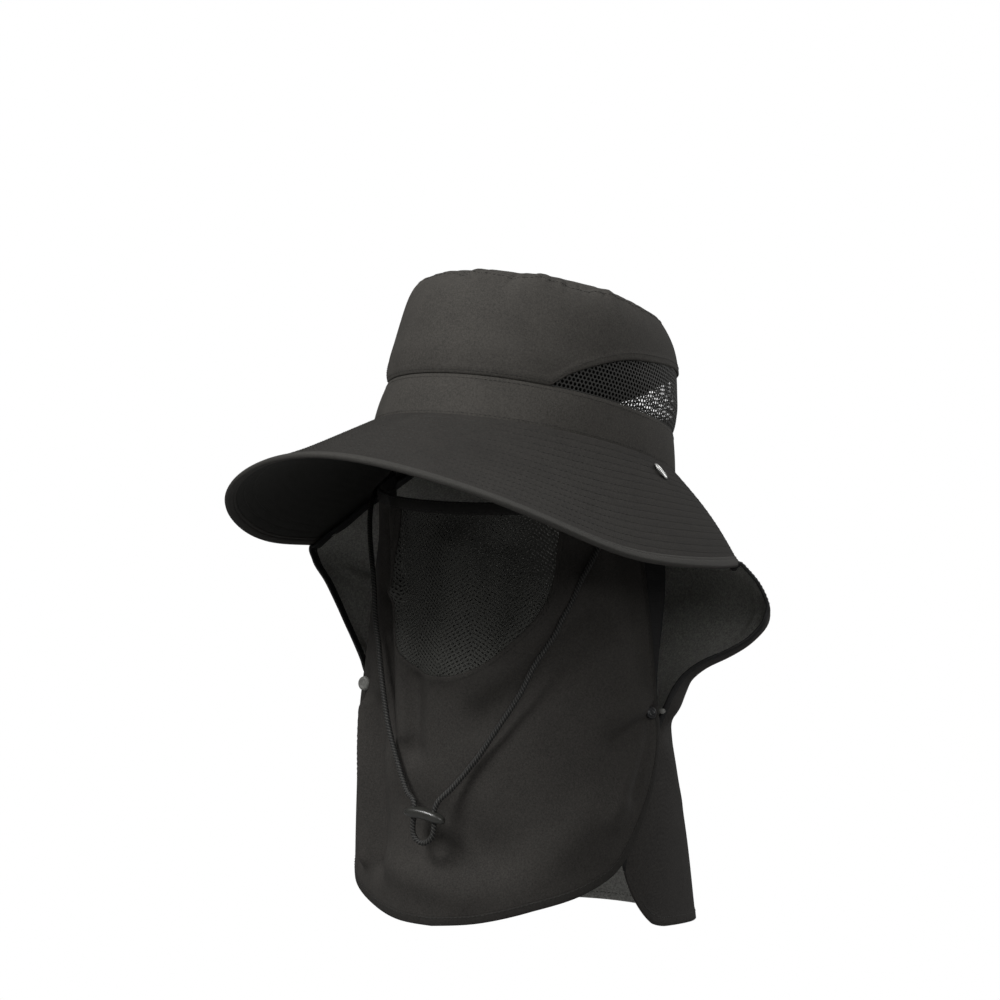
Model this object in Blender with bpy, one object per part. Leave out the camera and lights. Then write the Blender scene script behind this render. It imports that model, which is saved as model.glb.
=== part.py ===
"""Flap sun hat: bucket crown with vent, wide brim, neck cape, face veil and chin cord.

Metres, +Z up. The wearer faces -Y and the wearer's left is +X. The origin is the
middle of the head opening. Crown, band and brim are worked out in a level frame
(x, v to the rear, w up) and then leaned back by HAT_TILT. Cape, veil and cord
hang straight down.
"""
import math

import bmesh
import bpy
import numpy as np

# Head opening and crown
HEAD_HALF_LENGTH = 0.100
HEAD_HALF_WIDTH = 0.083
HAT_TILT = math.radians(15.0)
BAND_HEIGHT = 0.0237
BAND_TOP_SCALE = 0.950
CROWN_CLOTH = 0.0016
BAND_CLOTH = 0.0020
MESH_CLOTH = 0.0010
GAP = 0.0003
VENT_START = 44.0

# Brim
BRIM_CLOTH = 0.0024
BRIM_DROP = 0.0007
BRIM_LENGTH_MEAN = 0.0787
BRIM_LENGTH_FRONT = 0.0238
BRIM_LENGTH_CORNER = -0.0020
BINDING_WIDTH = 0.0060
BINDING_CLOTH = BRIM_CLOTH + 0.0010
EYELET_OUT = 0.0110
EYELET_RADIUS = 0.0042
EYELET_HOLE = 0.0020
EYELET_HEIGHT = 0.0008

# Neck cape
CAPE_CLOTH = 0.0014
CAPE_INSET = 0.0024
CAPE_EDGE = 0.0050
CAPE_CLEARANCE = 0.0054
CAPE_SEAM_CLEARANCE = 0.0026
CAPE_SEAM_EASE = 0.030
CAPE_TUCK = 0.0036
CAPE_BINDING_CLOTH = 0.0020
HEM_Z = -0.2635
HEM_REAR_DROP = 0.018
HEM_CORNER = 0.046
HEM_CORNER_FROM = 0.72
FOLD_DEPTH = 0.0035

# Face veil
VEIL_CLOTH = 0.0012
VEIL_BINDING_CLOTH = 0.0018
VEIL_TOP_BINDING = 0.0065
VEIL_SIDE_BINDING = 0.0050
VEIL_CENTRE_Y = -0.010
VEIL_TOP_SIDE = -0.0145
VEIL_TOP_DIP = 0.0095
VEIL_SKEW = 0.0060

# Snaps, cord and lock
SNAP_RADIUS = 0.0052
SNAP_HEIGHT = 0.0024
SNAP_LEFT_Z = -0.1426
SNAP_LEFT_TURN = 87.0
SNAP_RIGHT_Z = -0.1354
SNAP_RIGHT_TURN = -75.0
CORD_DIAMETER = 0.0032
LOCK_WIDTH = 0.021
LOCK_HEIGHT = 0.0056
LOCK_DEPTH = 0.0080
LOCK_TILT = math.radians(9.0)
LOCK_HOLE = 0.0046
LOCK_HOLE_SPACING = 0.0120
LOCK_HOLE_LEAN = math.radians(8.0)
LOCK_CENTRE = (-0.0007, -0.1010, -0.1950)

# Crown profile: scale of the head ring, height above the brim seam
CROWN_PROFILE = [
    {"scale": 0.950, "height": 0.0237},
    {"scale": 0.964, "height": 0.0300},
    {"scale": 0.966, "height": 0.0376},
    {"scale": 0.950, "height": 0.0486},
    {"scale": 0.928, "height": 0.0597},
    {"scale": 0.900, "height": 0.0690},
    {"scale": 0.862, "height": 0.0767},
    {"scale": 0.812, "height": 0.0830},
    {"scale": 0.750, "height": 0.0873},
    {"scale": 0.660, "height": 0.0903},
    {"scale": 0.450, "height": 0.0926},
    {"scale": 0.200, "height": 0.0938},
    {"scale": 0.020, "height": 0.0941},
]
TIP_SEAM_ROW = 8

# Height of the vent arch over the band, by angle from the front
VENT_ARCH = [
    {"angle": 44.0, "rise": 0.0000},
    {"angle": 52.0, "rise": 0.0095},
    {"angle": 60.0, "rise": 0.0160},
    {"angle": 69.0, "rise": 0.0225},
    {"angle": 93.0, "rise": 0.0310},
    {"angle": 120.0, "rise": 0.0340},
    {"angle": 180.0, "rise": 0.0350},
]

# Slope of the brim under the horizontal, degrees, as a cosine series of the angle
BRIM_SLOPE = [47.5, -13.4, -2.2, -6.2]

# Front edge of the cape, wearer's left: height, half width, place of the widest
# point, and how far round from the rear the edge lies
CAPE_LEFT = [
    {"z": -0.0020, "wide": 0.0806, "middle": 0.000, "turn": 85.0},
    {"z": -0.0300, "wide": 0.1000, "middle": 0.012, "turn": 90.0},
    {"z": -0.0470, "wide": 0.1140, "middle": 0.022, "turn": 90.0},
    {"z": -0.0625, "wide": 0.1260, "middle": 0.033, "turn": 90.0},
    {"z": -0.0700, "wide": 0.1305, "middle": 0.038, "turn": 90.0},
    {"z": -0.0767, "wide": 0.1332, "middle": 0.041, "turn": 90.0},
    {"z": -0.0841, "wide": 0.1356, "middle": 0.042, "turn": 90.0},
    {"z": -0.0907, "wide": 0.1360, "middle": 0.038, "turn": 90.0},
    {"z": -0.0977, "wide": 0.1337, "middle": 0.032, "turn": 90.0},
    {"z": -0.1030, "wide": 0.1300, "middle": 0.025, "turn": 90.0},
    {"z": -0.1081, "wide": 0.1234, "middle": 0.016, "turn": 90.0},
    {"z": -0.1133, "wide": 0.1135, "middle": 0.009, "turn": 90.0},
    {"z": -0.1201, "wide": 0.1052, "middle": 0.003, "turn": 90.0},
    {"z": -0.1280, "wide": 0.1000, "middle": -0.001, "turn": 90.0},
    {"z": -0.1380, "wide": 0.0965, "middle": -0.005, "turn": 90.0},
    {"z": -0.1480, "wide": 0.0920, "middle": -0.006, "turn": 90.0},
    {"z": -0.1600, "wide": 0.0915, "middle": -0.010, "turn": 94.0},
    {"z": -0.1950, "wide": 0.0915, "middle": -0.010, "turn": 101.0},
    {"z": -0.2350, "wide": 0.0917, "middle": -0.010, "turn": 109.0},
]

# The same on the wearer's right
CAPE_RIGHT = [
    {"z": -0.0020, "wide": 0.0806, "middle": 0.000, "turn": 84.0},
    {"z": -0.0220, "wide": 0.0975, "middle": 0.001, "turn": 90.0},
    {"z": -0.0350, "wide": 0.1100, "middle": -0.012, "turn": 90.0},
    {"z": -0.0450, "wide": 0.1190, "middle": -0.020, "turn": 90.0},
    {"z": -0.0577, "wide": 0.1340, "middle": -0.030, "turn": 90.0},
    {"z": -0.0665, "wide": 0.1350, "middle": -0.026, "turn": 90.0},
    {"z": -0.0791, "wide": 0.1305, "middle": -0.020, "turn": 90.0},
    {"z": -0.0923, "wide": 0.1264, "middle": -0.015, "turn": 90.0},
    {"z": -0.1063, "wide": 0.1225, "middle": -0.010, "turn": 90.0},
    {"z": -0.1180, "wide": 0.1190, "middle": -0.006, "turn": 90.0},
    {"z": -0.1272, "wide": 0.1150, "middle": -0.005, "turn": 90.0},
    {"z": -0.1365, "wide": 0.1105, "middle": -0.005, "turn": 90.0},
    {"z": -0.1480, "wide": 0.0930, "middle": -0.006, "turn": 90.0},
    {"z": -0.1600, "wide": 0.0915, "middle": -0.010, "turn": 94.0},
    {"z": -0.1950, "wide": 0.0915, "middle": -0.010, "turn": 101.0},
    {"z": -0.2350, "wide": 0.0917, "middle": -0.010, "turn": 109.0},
]

# Rear of the cape by height: where its middle hangs, and how pointed its section is
CAPE_REAR = [
    {"z": -0.0020, "rear": 0.0945, "point": 1.0},
    {"z": -0.0300, "rear": 0.0980, "point": 1.2},
    {"z": -0.0600, "rear": 0.1000, "point": 1.7},
    {"z": -0.0860, "rear": 0.0950, "point": 2.0},
    {"z": -0.1130, "rear": 0.0850, "point": 2.0},
    {"z": -0.1350, "rear": 0.0800, "point": 1.8},
    {"z": -0.1500, "rear": 0.0790, "point": 1.3},
    {"z": -0.1900, "rear": 0.0880, "point": 0.9},
    {"z": -0.2350, "rear": 0.1000, "point": 0.8},
    {"z": -0.2635, "rear": 0.1080, "point": 0.8},
]

# Face veil: half width and depth of its rounded section, by height
VEIL_SECTIONS = [
    {"z": -0.010, "wide": 0.0860, "deep": 0.0640},
    {"z": -0.045, "wide": 0.0840, "deep": 0.0660},
    {"z": -0.070, "wide": 0.0870, "deep": 0.0675},
    {"z": -0.090, "wide": 0.0895, "deep": 0.0690},
    {"z": -0.115, "wide": 0.0920, "deep": 0.0720},
    {"z": -0.145, "wide": 0.0950, "deep": 0.0780},
    {"z": -0.200, "wide": 0.0955, "deep": 0.0830},
    {"z": -0.262, "wide": 0.0955, "deep": 0.0850},
]

# Outline of the veil from a temple (0) to the middle of its hem (1)
VEIL_OUTLINE = [
    {"along": 0.00, "turn": 90.0, "z": -0.0145},
    {"along": 0.20, "turn": 90.0, "z": -0.0700},
    {"along": 0.40, "turn": 90.0, "z": -0.1300},
    {"along": 0.56, "turn": 87.5, "z": -0.1780},
    {"along": 0.64, "turn": 80.0, "z": -0.2040},
    {"along": 0.71, "turn": 69.0, "z": -0.2290},
    {"along": 0.78, "turn": 55.0, "z": -0.2415},
    {"along": 0.86, "turn": 36.0, "z": -0.2502},
    {"along": 0.94, "turn": 16.0, "z": -0.2568},
    {"along": 1.00, "turn": 0.0, "z": -0.2585},
]

# Outline of the net in the veil along the same course: half angle, and the slant
# of its middle toward the wearer's left
NET_OUTLINE = [
    {"along": 0.00, "turn": 37.0, "z": -0.0250, "slant": 8.5},
    {"along": 0.20, "turn": 36.5, "z": -0.0450, "slant": 8.0},
    {"along": 0.40, "turn": 35.0, "z": -0.0670, "slant": 6.5},
    {"along": 0.56, "turn": 31.5, "z": -0.0830, "slant": 4.5},
    {"along": 0.64, "turn": 27.5, "z": -0.0945, "slant": 2.0},
    {"along": 0.71, "turn": 22.6, "z": -0.1055, "slant": -1.0},
    {"along": 0.78, "turn": 17.0, "z": -0.1130, "slant": -2.0},
    {"along": 0.86, "turn": 11.0, "z": -0.1180, "slant": -2.5},
    {"along": 0.94, "turn": 5.0, "z": -0.1205, "slant": -2.5},
    {"along": 1.00, "turn": 0.0, "z": -0.1210, "slant": -2.5},
]

# Course of the chin cord: from the left eyelet over the veil, through the lock,
# round the small loop, back through the lock and up to the right eyelet
CORD_COURSE = [
    (0.0895, -0.0040, -0.0125),
    (0.0906, -0.0072, -0.0158),
    (0.0908, -0.0125, -0.0192),
    (0.0893, -0.0190, -0.0222),
    (0.0858, -0.0299, -0.0295),
    (0.0815, -0.0375, -0.0380),
    (0.0773, -0.0437, -0.0467),
    (0.0750, -0.0483, -0.0553),
    (0.0718, -0.0530, -0.0642),
    (0.0697, -0.0560, -0.0716),
    (0.0675, -0.0590, -0.0791),
    (0.0644, -0.0625, -0.0872),
    (0.0618, -0.0656, -0.0954),
    (0.0577, -0.0694, -0.1035),
    (0.0534, -0.0729, -0.1117),
    (0.0505, -0.0759, -0.1198),
    (0.0474, -0.0788, -0.1280),
    (0.0431, -0.0820, -0.1362),
    (0.0387, -0.0853, -0.1444),
    (0.0337, -0.0879, -0.1528),
    (0.0286, -0.0901, -0.1612),
    (0.0238, -0.0920, -0.1677),
    (0.0191, -0.0940, -0.1741),
    (0.0130, -0.0968, -0.1815),
    (0.0078, -0.0996, -0.1870),
    (0.0057, -0.1009, -0.1920),
    (0.0050, -0.1010, -0.1980),
    (0.0049, -0.1015, -0.2030),
    (0.0034, -0.1020, -0.2070),
    (0.0012, -0.1022, -0.2102),
    (-0.0018, -0.1023, -0.2116),
    (-0.0052, -0.1022, -0.2106),
    (-0.0078, -0.1020, -0.2076),
    (-0.0079, -0.1015, -0.2032),
    (-0.0066, -0.1010, -0.1980),
    (-0.0071, -0.1009, -0.1920),
    (-0.0098, -0.0992, -0.1878),
    (-0.0151, -0.0964, -0.1858),
    (-0.0201, -0.0940, -0.1795),
    (-0.0242, -0.0922, -0.1724),
    (-0.0285, -0.0903, -0.1646),
    (-0.0325, -0.0885, -0.1567),
    (-0.0364, -0.0864, -0.1476),
    (-0.0408, -0.0831, -0.1371),
    (-0.0446, -0.0799, -0.1275),
    (-0.0486, -0.0763, -0.1180),
    (-0.0519, -0.0731, -0.1077),
    (-0.0562, -0.0694, -0.0986),
    (-0.0598, -0.0660, -0.0888),
    (-0.0622, -0.0633, -0.0777),
    (-0.0660, -0.0596, -0.0666),
    (-0.0708, -0.0545, -0.0570),
    (-0.0760, -0.0485, -0.0470),
    (-0.0800, -0.0430, -0.0380),
    (-0.0835, -0.0365, -0.0300),
    (-0.0872, -0.0275, -0.0240),
    (-0.0897, -0.0190, -0.0215),
    (-0.0908, -0.0125, -0.0190),
    (-0.0906, -0.0072, -0.0158),
    (-0.0895, -0.0040, -0.0125),
]


def clear_scene():
    """Take away every object so that the part is built into an empty scene."""
    for item in list(bpy.data.objects):
        bpy.data.objects.remove(item, do_unlink=True)


def new_material(name, colour, roughness, metallic=0.0):
    """Make one plain surface finish."""
    material = bpy.data.materials.new(name)
    material.use_nodes = True
    shader = material.node_tree.nodes["Principled BSDF"]
    shader.inputs["Base Color"].default_value = (*colour, 1.0)
    shader.inputs["Roughness"].default_value = roughness
    shader.inputs["Metallic"].default_value = metallic
    return material


def blend(table, key, value, wanted):
    """Read a column of a table as a smooth curve through its rows."""
    knots = np.array([row[key] for row in table])
    values = np.array([row[wanted] for row in table])
    if knots[0] > knots[-1]:
        knots = knots[::-1]
        values = values[::-1]
    slopes = np.gradient(values, knots)
    steps = np.diff(values) / np.diff(knots)
    for index in range(1, len(knots) - 1):
        if steps[index - 1] * steps[index] <= 0.0:
            slopes[index] = 0.0
    value = np.clip(np.asarray(value, dtype=float), knots[0], knots[-1])
    spot = np.clip(np.searchsorted(knots, value) - 1, 0, len(knots) - 2)
    width = knots[spot + 1] - knots[spot]
    t = (value - knots[spot]) / width
    left = values[spot] * (2 * t**3 - 3 * t**2 + 1)
    left = left + slopes[spot] * width * (t**3 - 2 * t**2 + t)
    right = values[spot + 1] * (3 * t**2 - 2 * t**3)
    right = right + slopes[spot + 1] * width * (t**3 - t**2)
    return left + right


def lean(x, v, w):
    """Turn a point of the level hat frame into the leaned-back one."""
    y = v * math.cos(HAT_TILT) + w * math.sin(HAT_TILT)
    z = w * math.cos(HAT_TILT) - v * math.sin(HAT_TILT)
    return np.stack([x, y, z], axis=-1)


def head_ring(angle, scale=1.0, out=0.0):
    """Point of the head ellipse at an angle from the front, moved outward by out."""
    x = HEAD_HALF_WIDTH * scale * np.sin(angle)
    v = -HEAD_HALF_LENGTH * scale * np.cos(angle)
    normal_x = np.sin(angle) / HEAD_HALF_WIDTH
    normal_v = -np.cos(angle) / HEAD_HALF_LENGTH
    size = np.hypot(normal_x, normal_v)
    return x + out * normal_x / size, v + out * normal_v / size


def crown_point(angle, row):
    """Point of the crown's middle surface at a row of its profile."""
    count = len(CROWN_PROFILE)
    table = [dict(item, row=index) for index, item in enumerate(CROWN_PROFILE)]
    row = np.clip(row, 0, count - 1)
    scale = blend(table, "row", row, "scale")
    height = blend(table, "row", row, "height")
    inset = -0.5 * CROWN_CLOTH * np.clip(scale / BAND_TOP_SCALE, 0.0, 1.0)
    x, v = head_ring(angle, scale, inset)
    return lean(x, v, height)


def crown_row_at(height):
    """Row of the crown profile at a height above the brim seam."""
    table = [dict(item, row=float(index)) for index, item in enumerate(CROWN_PROFILE)]
    return blend(table, "height", height, "row")


def vent_rise(angle):
    """Height of the vent arch over the band at an angle from the front."""
    turned = np.degrees(np.abs(np.arctan2(np.sin(angle), np.cos(angle))))
    rise = blend(VENT_ARCH, "angle", np.maximum(turned, VENT_START), "rise")
    return np.where(turned < VENT_START, 0.0, rise)


def brim_point(angle, share, lift=0.0):
    """Point of the brim: share runs from the seam (0) to the edge (1)."""
    length = BRIM_LENGTH_MEAN + BRIM_LENGTH_FRONT * np.cos(angle)
    length = length + BRIM_LENGTH_CORNER * np.cos(3 * angle)
    slope = sum(value * np.cos(n * angle) for n, value in enumerate(BRIM_SLOPE))
    slope = np.radians(slope)
    bow = (0.0007 - 0.0040 * np.cos(angle)) * np.sin(np.pi * share) + lift
    out = length * share * np.cos(slope) + bow * np.sin(slope)
    x, v = head_ring(angle, 1.0, out)
    return lean(x, v, bow * np.cos(slope) - length * share * np.sin(slope) - BRIM_DROP)


def brim_length(angle):
    """Length of the brim along its slope."""
    length = BRIM_LENGTH_MEAN + BRIM_LENGTH_FRONT * np.cos(angle)
    return length + BRIM_LENGTH_CORNER * np.cos(3 * angle)


def under_brim(points):
    """Keep points of the cape below the underside of the brim."""
    x = points[..., 0]
    v = points[..., 1] * math.cos(HAT_TILT) - points[..., 2] * math.sin(HAT_TILT)
    w = points[..., 1] * math.sin(HAT_TILT) + points[..., 2] * math.cos(HAT_TILT)
    angle = np.arctan2(x / HEAD_HALF_WIDTH, -v / HEAD_HALF_LENGTH)
    ring_x, ring_v = head_ring(angle)
    slack_x, slack_v = head_ring(angle, 1.0, 1.0)
    out = (x - ring_x) * (slack_x - ring_x) + (v - ring_v) * (slack_v - ring_v)
    slope = sum(value * np.cos(n * angle) for n, value in enumerate(BRIM_SLOPE))
    slope = np.radians(slope)
    edge = brim_length(angle) * np.cos(slope)
    bow = (0.0007 - 0.0040 * np.cos(angle)) * np.sin(np.pi * np.clip(out / edge, 0.0, 1.0))
    ceiling = -BRIM_DROP - np.maximum(out, -CAPE_INSET) * np.tan(slope)
    ease = np.clip((out + CAPE_INSET) / CAPE_SEAM_EASE, 0.0, 1.0)
    clearance = CAPE_SEAM_CLEARANCE + (CAPE_CLEARANCE - CAPE_SEAM_CLEARANCE) * ease
    ceiling = ceiling + (bow - clearance) / np.cos(slope)
    ceiling = ceiling + 2.5 * np.maximum(out - edge - 0.9 * CAPE_CLEARANCE, 0.0)
    w = np.minimum(w, ceiling)
    return lean(x, v, w)


def cape_point(turn, drop):
    """Point of the cape: turn -1 right edge, 0 rear, 1 left edge; drop 0 seam, 1 hem."""
    turn, drop = np.broadcast_arrays(np.asarray(turn, float), np.asarray(drop, float))
    level = -0.002 + (HEM_Z + 0.002) * drop
    side = np.abs(turn)
    left = turn >= 0.0
    wide = np.where(left, blend(CAPE_LEFT, "z", level, "wide"), blend(CAPE_RIGHT, "z", level, "wide"))
    middle = np.where(left, blend(CAPE_LEFT, "z", level, "middle"), blend(CAPE_RIGHT, "z", level, "middle"))
    reach = np.where(left, blend(CAPE_LEFT, "z", level, "turn"), blend(CAPE_RIGHT, "z", level, "turn"))
    # The two halves meet at one rear point, so their middles are blended there
    rear_middle = 0.5 * (blend(CAPE_LEFT, "z", level, "middle") + blend(CAPE_RIGHT, "z", level, "middle"))
    rear_wide = 0.5 * (blend(CAPE_LEFT, "z", level, "wide") + blend(CAPE_RIGHT, "z", level, "wide"))
    ease = np.clip(side / 0.6, 0.0, 1.0)
    ease = ease * ease * (3.0 - 2.0 * ease)
    middle = rear_middle + (middle - rear_middle) * ease
    wide = rear_wide + (wide - rear_wide) * ease
    rear = blend(CAPE_REAR, "z", level, "rear")
    angle = np.radians(reach) * side
    point = blend(CAPE_REAR, "z", level, "point")
    veil_deep = blend(VEIL_SECTIONS, "z", level, "deep") - CAPE_TUCK
    deep = np.where(np.cos(angle) > 0.0, rear - middle, veil_deep)
    # Soft folds grow toward the hem and die out at the front edges
    wave = FOLD_DEPTH * drop**2 * np.cos(7.0 * angle) * np.clip(1.0 - 1.25 * side, 0.0, 1.0)
    round_in = np.where(np.cos(angle) > 0.0, np.sin(angle) ** point, np.sin(angle))
    x = np.sign(turn) * (wide + wave) * round_in
    y = middle + (deep + wave) * np.cos(angle)
    # The seam follows the leaned head ring, the hem hangs a little lower behind
    seam_x, seam_v = head_ring(np.pi - np.sign(turn) * angle, 1.0, -CAPE_INSET)
    seam = lean(seam_x, seam_v, -0.0026 + 0.0 * seam_v)
    hem = HEM_Z - HEM_REAR_DROP * np.cos(angle)
    length = np.radians(reach) * (1.0 - side) * 0.1
    corner = np.clip(1.0 - length / HEM_CORNER, 0.0, 1.0)
    low = np.clip((drop - HEM_CORNER_FROM) / (1.0 - HEM_CORNER_FROM), 0.0, 1.0)
    rise = HEM_CORNER * (1.0 - np.sqrt(np.clip(1.0 - corner**2, 0.0, 1.0))) * low * low
    settle = np.clip(drop / 0.10, 0.0, 1.0)
    settle = settle * settle * (3.0 - 2.0 * settle)
    x = seam[..., 0] + (x - seam[..., 0]) * settle
    y = seam[..., 1] + (y - seam[..., 1]) * settle
    z = seam[..., 2] + (hem - seam[..., 2]) * drop + rise
    return under_brim(np.stack([x, y, z], axis=-1))


def veil_point(turn, z, lift=0.0):
    """Point of the veil at an angle round the face (degrees) and a height."""
    angle = np.radians(turn)
    wide = blend(VEIL_SECTIONS, "z", z, "wide") + lift
    deep = blend(VEIL_SECTIONS, "z", z, "deep") + lift
    x = wide * np.sin(angle)
    y = VEIL_CENTRE_Y - deep * np.cos(angle)
    return np.stack([x, y, z + 0.0 * x], axis=-1)


def veil_top(turn):
    """Height of the veil's top edge, lower over the nose than at the temples."""
    return VEIL_TOP_SIDE - VEIL_TOP_DIP * np.clip(np.cos(np.radians(turn)), 0.0, 1.0) ** 0.6


def sheet_normals(grid, wrap):
    """Unit normals of a grid of points, from its rows and columns."""
    if wrap:
        along = np.roll(grid, -1, axis=1) - np.roll(grid, 1, axis=1)
    else:
        along = np.gradient(grid, axis=1)
    across = np.gradient(grid, axis=0)
    normals = np.cross(along, across)
    sizes = np.linalg.norm(normals, axis=2, keepdims=True)
    normals = normals / np.maximum(sizes, 1e-15)
    weak = sizes[..., 0] < 1e-10
    for row in np.nonzero(weak.all(axis=1))[0]:
        beside = row - 1 if row > 0 else row + 1
        mean = normals[beside].mean(axis=0)
        normals[row] = mean / np.linalg.norm(mean)
    return normals


def add_body(name, points, faces, material):
    """Make one closed object from points and faces, turned outward."""
    mesh = bpy.data.meshes.new(name)
    mesh.from_pydata([tuple(point) for point in points], [], faces)
    work = bmesh.new()
    work.from_mesh(mesh)
    bmesh.ops.remove_doubles(work, verts=work.verts, dist=2e-5)
    bmesh.ops.dissolve_degenerate(work, edges=work.edges, dist=1e-6)
    bmesh.ops.triangulate(work, faces=work.faces)
    bmesh.ops.recalc_face_normals(work, faces=work.faces)
    work.to_mesh(mesh)
    work.free()
    body = bpy.data.objects.new(name, mesh)
    bpy.context.scene.collection.objects.link(body)
    mesh.materials.append(material)
    return body


def thick_sheet(name, grid, cloth, material, wrap=False):
    """Turn a grid of points (rows, columns) into a closed wall of even thickness."""
    normals = sheet_normals(grid, wrap)
    rows, columns = grid.shape[:2]
    points = np.concatenate([
        (grid + 0.5 * cloth * normals).reshape(-1, 3),
        (grid - 0.5 * cloth * normals).reshape(-1, 3),
    ])
    back = rows * columns
    faces = []
    spans = columns if wrap else columns - 1
    for row in range(rows - 1):
        for column in range(spans):
            a = row * columns + column
            b = row * columns + (column + 1) % columns
            c = b + columns
            d = a + columns
            faces.append((a, b, c, d))
            faces.append((back + d, back + c, back + b, back + a))
    for row in (0, rows - 1):
        for column in range(spans):
            a = row * columns + column
            b = row * columns + (column + 1) % columns
            faces.append((a, back + a, back + b, b))
    if not wrap:
        for column in (0, columns - 1):
            for row in range(rows - 1):
                a = row * columns + column
                b = a + columns
                faces.append((a, b, back + b, back + a))
    return add_body(name, points, faces, material)


def lathe_ring(name, outline, centre, axis, material, sides=16, closed=True):
    """Turn an outline of (radius, height) pairs round an axis through a centre."""
    axis = np.array(axis) / np.linalg.norm(axis)
    side = np.cross(axis, (0.0, 0.0, 1.0) if abs(axis[2]) < 0.9 else (1.0, 0.0, 0.0))
    side = side / np.linalg.norm(side)
    other = np.cross(axis, side)
    points = []
    for step in range(sides):
        turn = 2.0 * math.pi * step / sides
        spoke = math.cos(turn) * side + math.sin(turn) * other
        for radius, height in outline:
            points.append(np.array(centre) + radius * spoke + height * axis)
    count = len(outline)
    faces = []
    for step in range(sides):
        following = (step + 1) % sides
        for index in range(count if closed else count - 1):
            after = (index + 1) % count
            faces.append((step * count + index, following * count + index,
                          following * count + after, step * count + after))
    return add_body(name, points, faces, material)


def brim_normal(angle, share):
    """Outward normal of the brim's upper face."""
    step = 1e-4
    along = brim_point(angle + step, share) - brim_point(angle - step, share)
    across = brim_point(angle, share + step) - brim_point(angle, share - step)
    normal = np.cross(along, across)
    normal = normal / np.linalg.norm(normal)
    return normal if normal[2] > 0.0 else -normal


def build_crown(cloth, net):
    """Tip, wall, band and vent of the crown."""
    columns = np.radians(np.linspace(0.0, 360.0, 48, endpoint=False))
    front = np.linspace(-VENT_START, VENT_START, 12, endpoint=False)
    rear = np.linspace(VENT_START, 360.0 - VENT_START, 36, endpoint=False)
    wall_columns = np.radians(np.concatenate([front, rear]))
    tip_start = TIP_SEAM_ROW + 0.04
    tip_rows = np.array([tip_start, 9.0, 10.4, 12.0])
    grid = np.array([crown_point(columns, np.full_like(columns, row)) for row in tip_rows])
    grid[-1] = grid[-1].mean(axis=0)
    thick_sheet("crown_tip", grid, CROWN_CLOTH, cloth, wrap=True)

    low = BAND_HEIGHT + 2.0 * GAP + vent_rise(wall_columns)
    rows = []
    for share in np.linspace(0.0, 1.0, 7):
        start = crown_row_at(low)
        row = start + (TIP_SEAM_ROW - start) * share
        rows.append(crown_point(wall_columns, row))
    thick_sheet("crown_wall", np.array(rows), CROWN_CLOTH, cloth, wrap=True)

    rows = []
    for share in (0.0, 1.0):
        scale = 1.0 + (BAND_TOP_SCALE - 1.0) * share
        x, v = head_ring(columns, scale, -0.5 * BAND_CLOTH)
        rows.append(lean(x, v, BAND_HEIGHT * share))
    thick_sheet("crown_band", np.array(rows), BAND_CLOTH, cloth, wrap=True)

    net_columns = np.radians(np.linspace(VENT_START + 3.0, 357.0 - VENT_START, 38))
    low = np.full_like(net_columns, BAND_HEIGHT + 2.0 * GAP)
    high = BAND_HEIGHT + vent_rise(net_columns) - GAP
    rows = []
    for share in (0.0, 0.33, 0.67, 1.0):
        row = crown_row_at(low + (high - low) * share)
        rows.append(crown_point(net_columns, row))
    thick_sheet("vent_mesh", np.array(rows), MESH_CLOTH, net)


def build_brim(cloth, dark, metal):
    """Brim, its bound edge and the two eyelets."""
    columns = np.radians(np.linspace(0.0, 360.0, 60, endpoint=False))
    edge = 1.0 - (BINDING_WIDTH + GAP) / brim_length(columns)
    rows = [brim_point(columns, edge * share) for share in np.linspace(0.0, 1.0, 6)]
    thick_sheet("brim", np.array(rows), BRIM_CLOTH, cloth, wrap=True)
    start = 1.0 - BINDING_WIDTH / brim_length(columns)
    rows = [brim_point(columns, start + (1.0 - start) * share) for share in (0.0, 1.0)]
    thick_sheet("brim_binding", np.array(rows), BINDING_CLOTH, dark, wrap=True)
    for name, turn in (("eyelet_left", 90.0), ("eyelet_right", -90.0)):
        angle = math.radians(turn)
        share = EYELET_OUT / float(brim_length(angle))
        normal = brim_normal(angle, share)
        centre = brim_point(angle, share) + normal * (0.5 * BRIM_CLOTH + GAP)
        outline = [
            (EYELET_HOLE, 0.0),
            (EYELET_RADIUS, 0.0),
            (EYELET_RADIUS * 0.94, EYELET_HEIGHT * 0.7),
            (0.5 * (EYELET_RADIUS + EYELET_HOLE), EYELET_HEIGHT),
            (EYELET_HOLE, EYELET_HEIGHT * 0.6),
        ]
        lathe_ring(name, outline, centre, normal, metal)


def edge_share(drop):
    """Share of the cape's half width taken by its front binding at a drop."""
    turns = np.linspace(0.0, 1.0, 33)
    line = cape_point(turns, np.full_like(turns, drop))
    length = np.linalg.norm(np.diff(line, axis=0), axis=1).sum()
    return CAPE_EDGE / length


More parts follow.
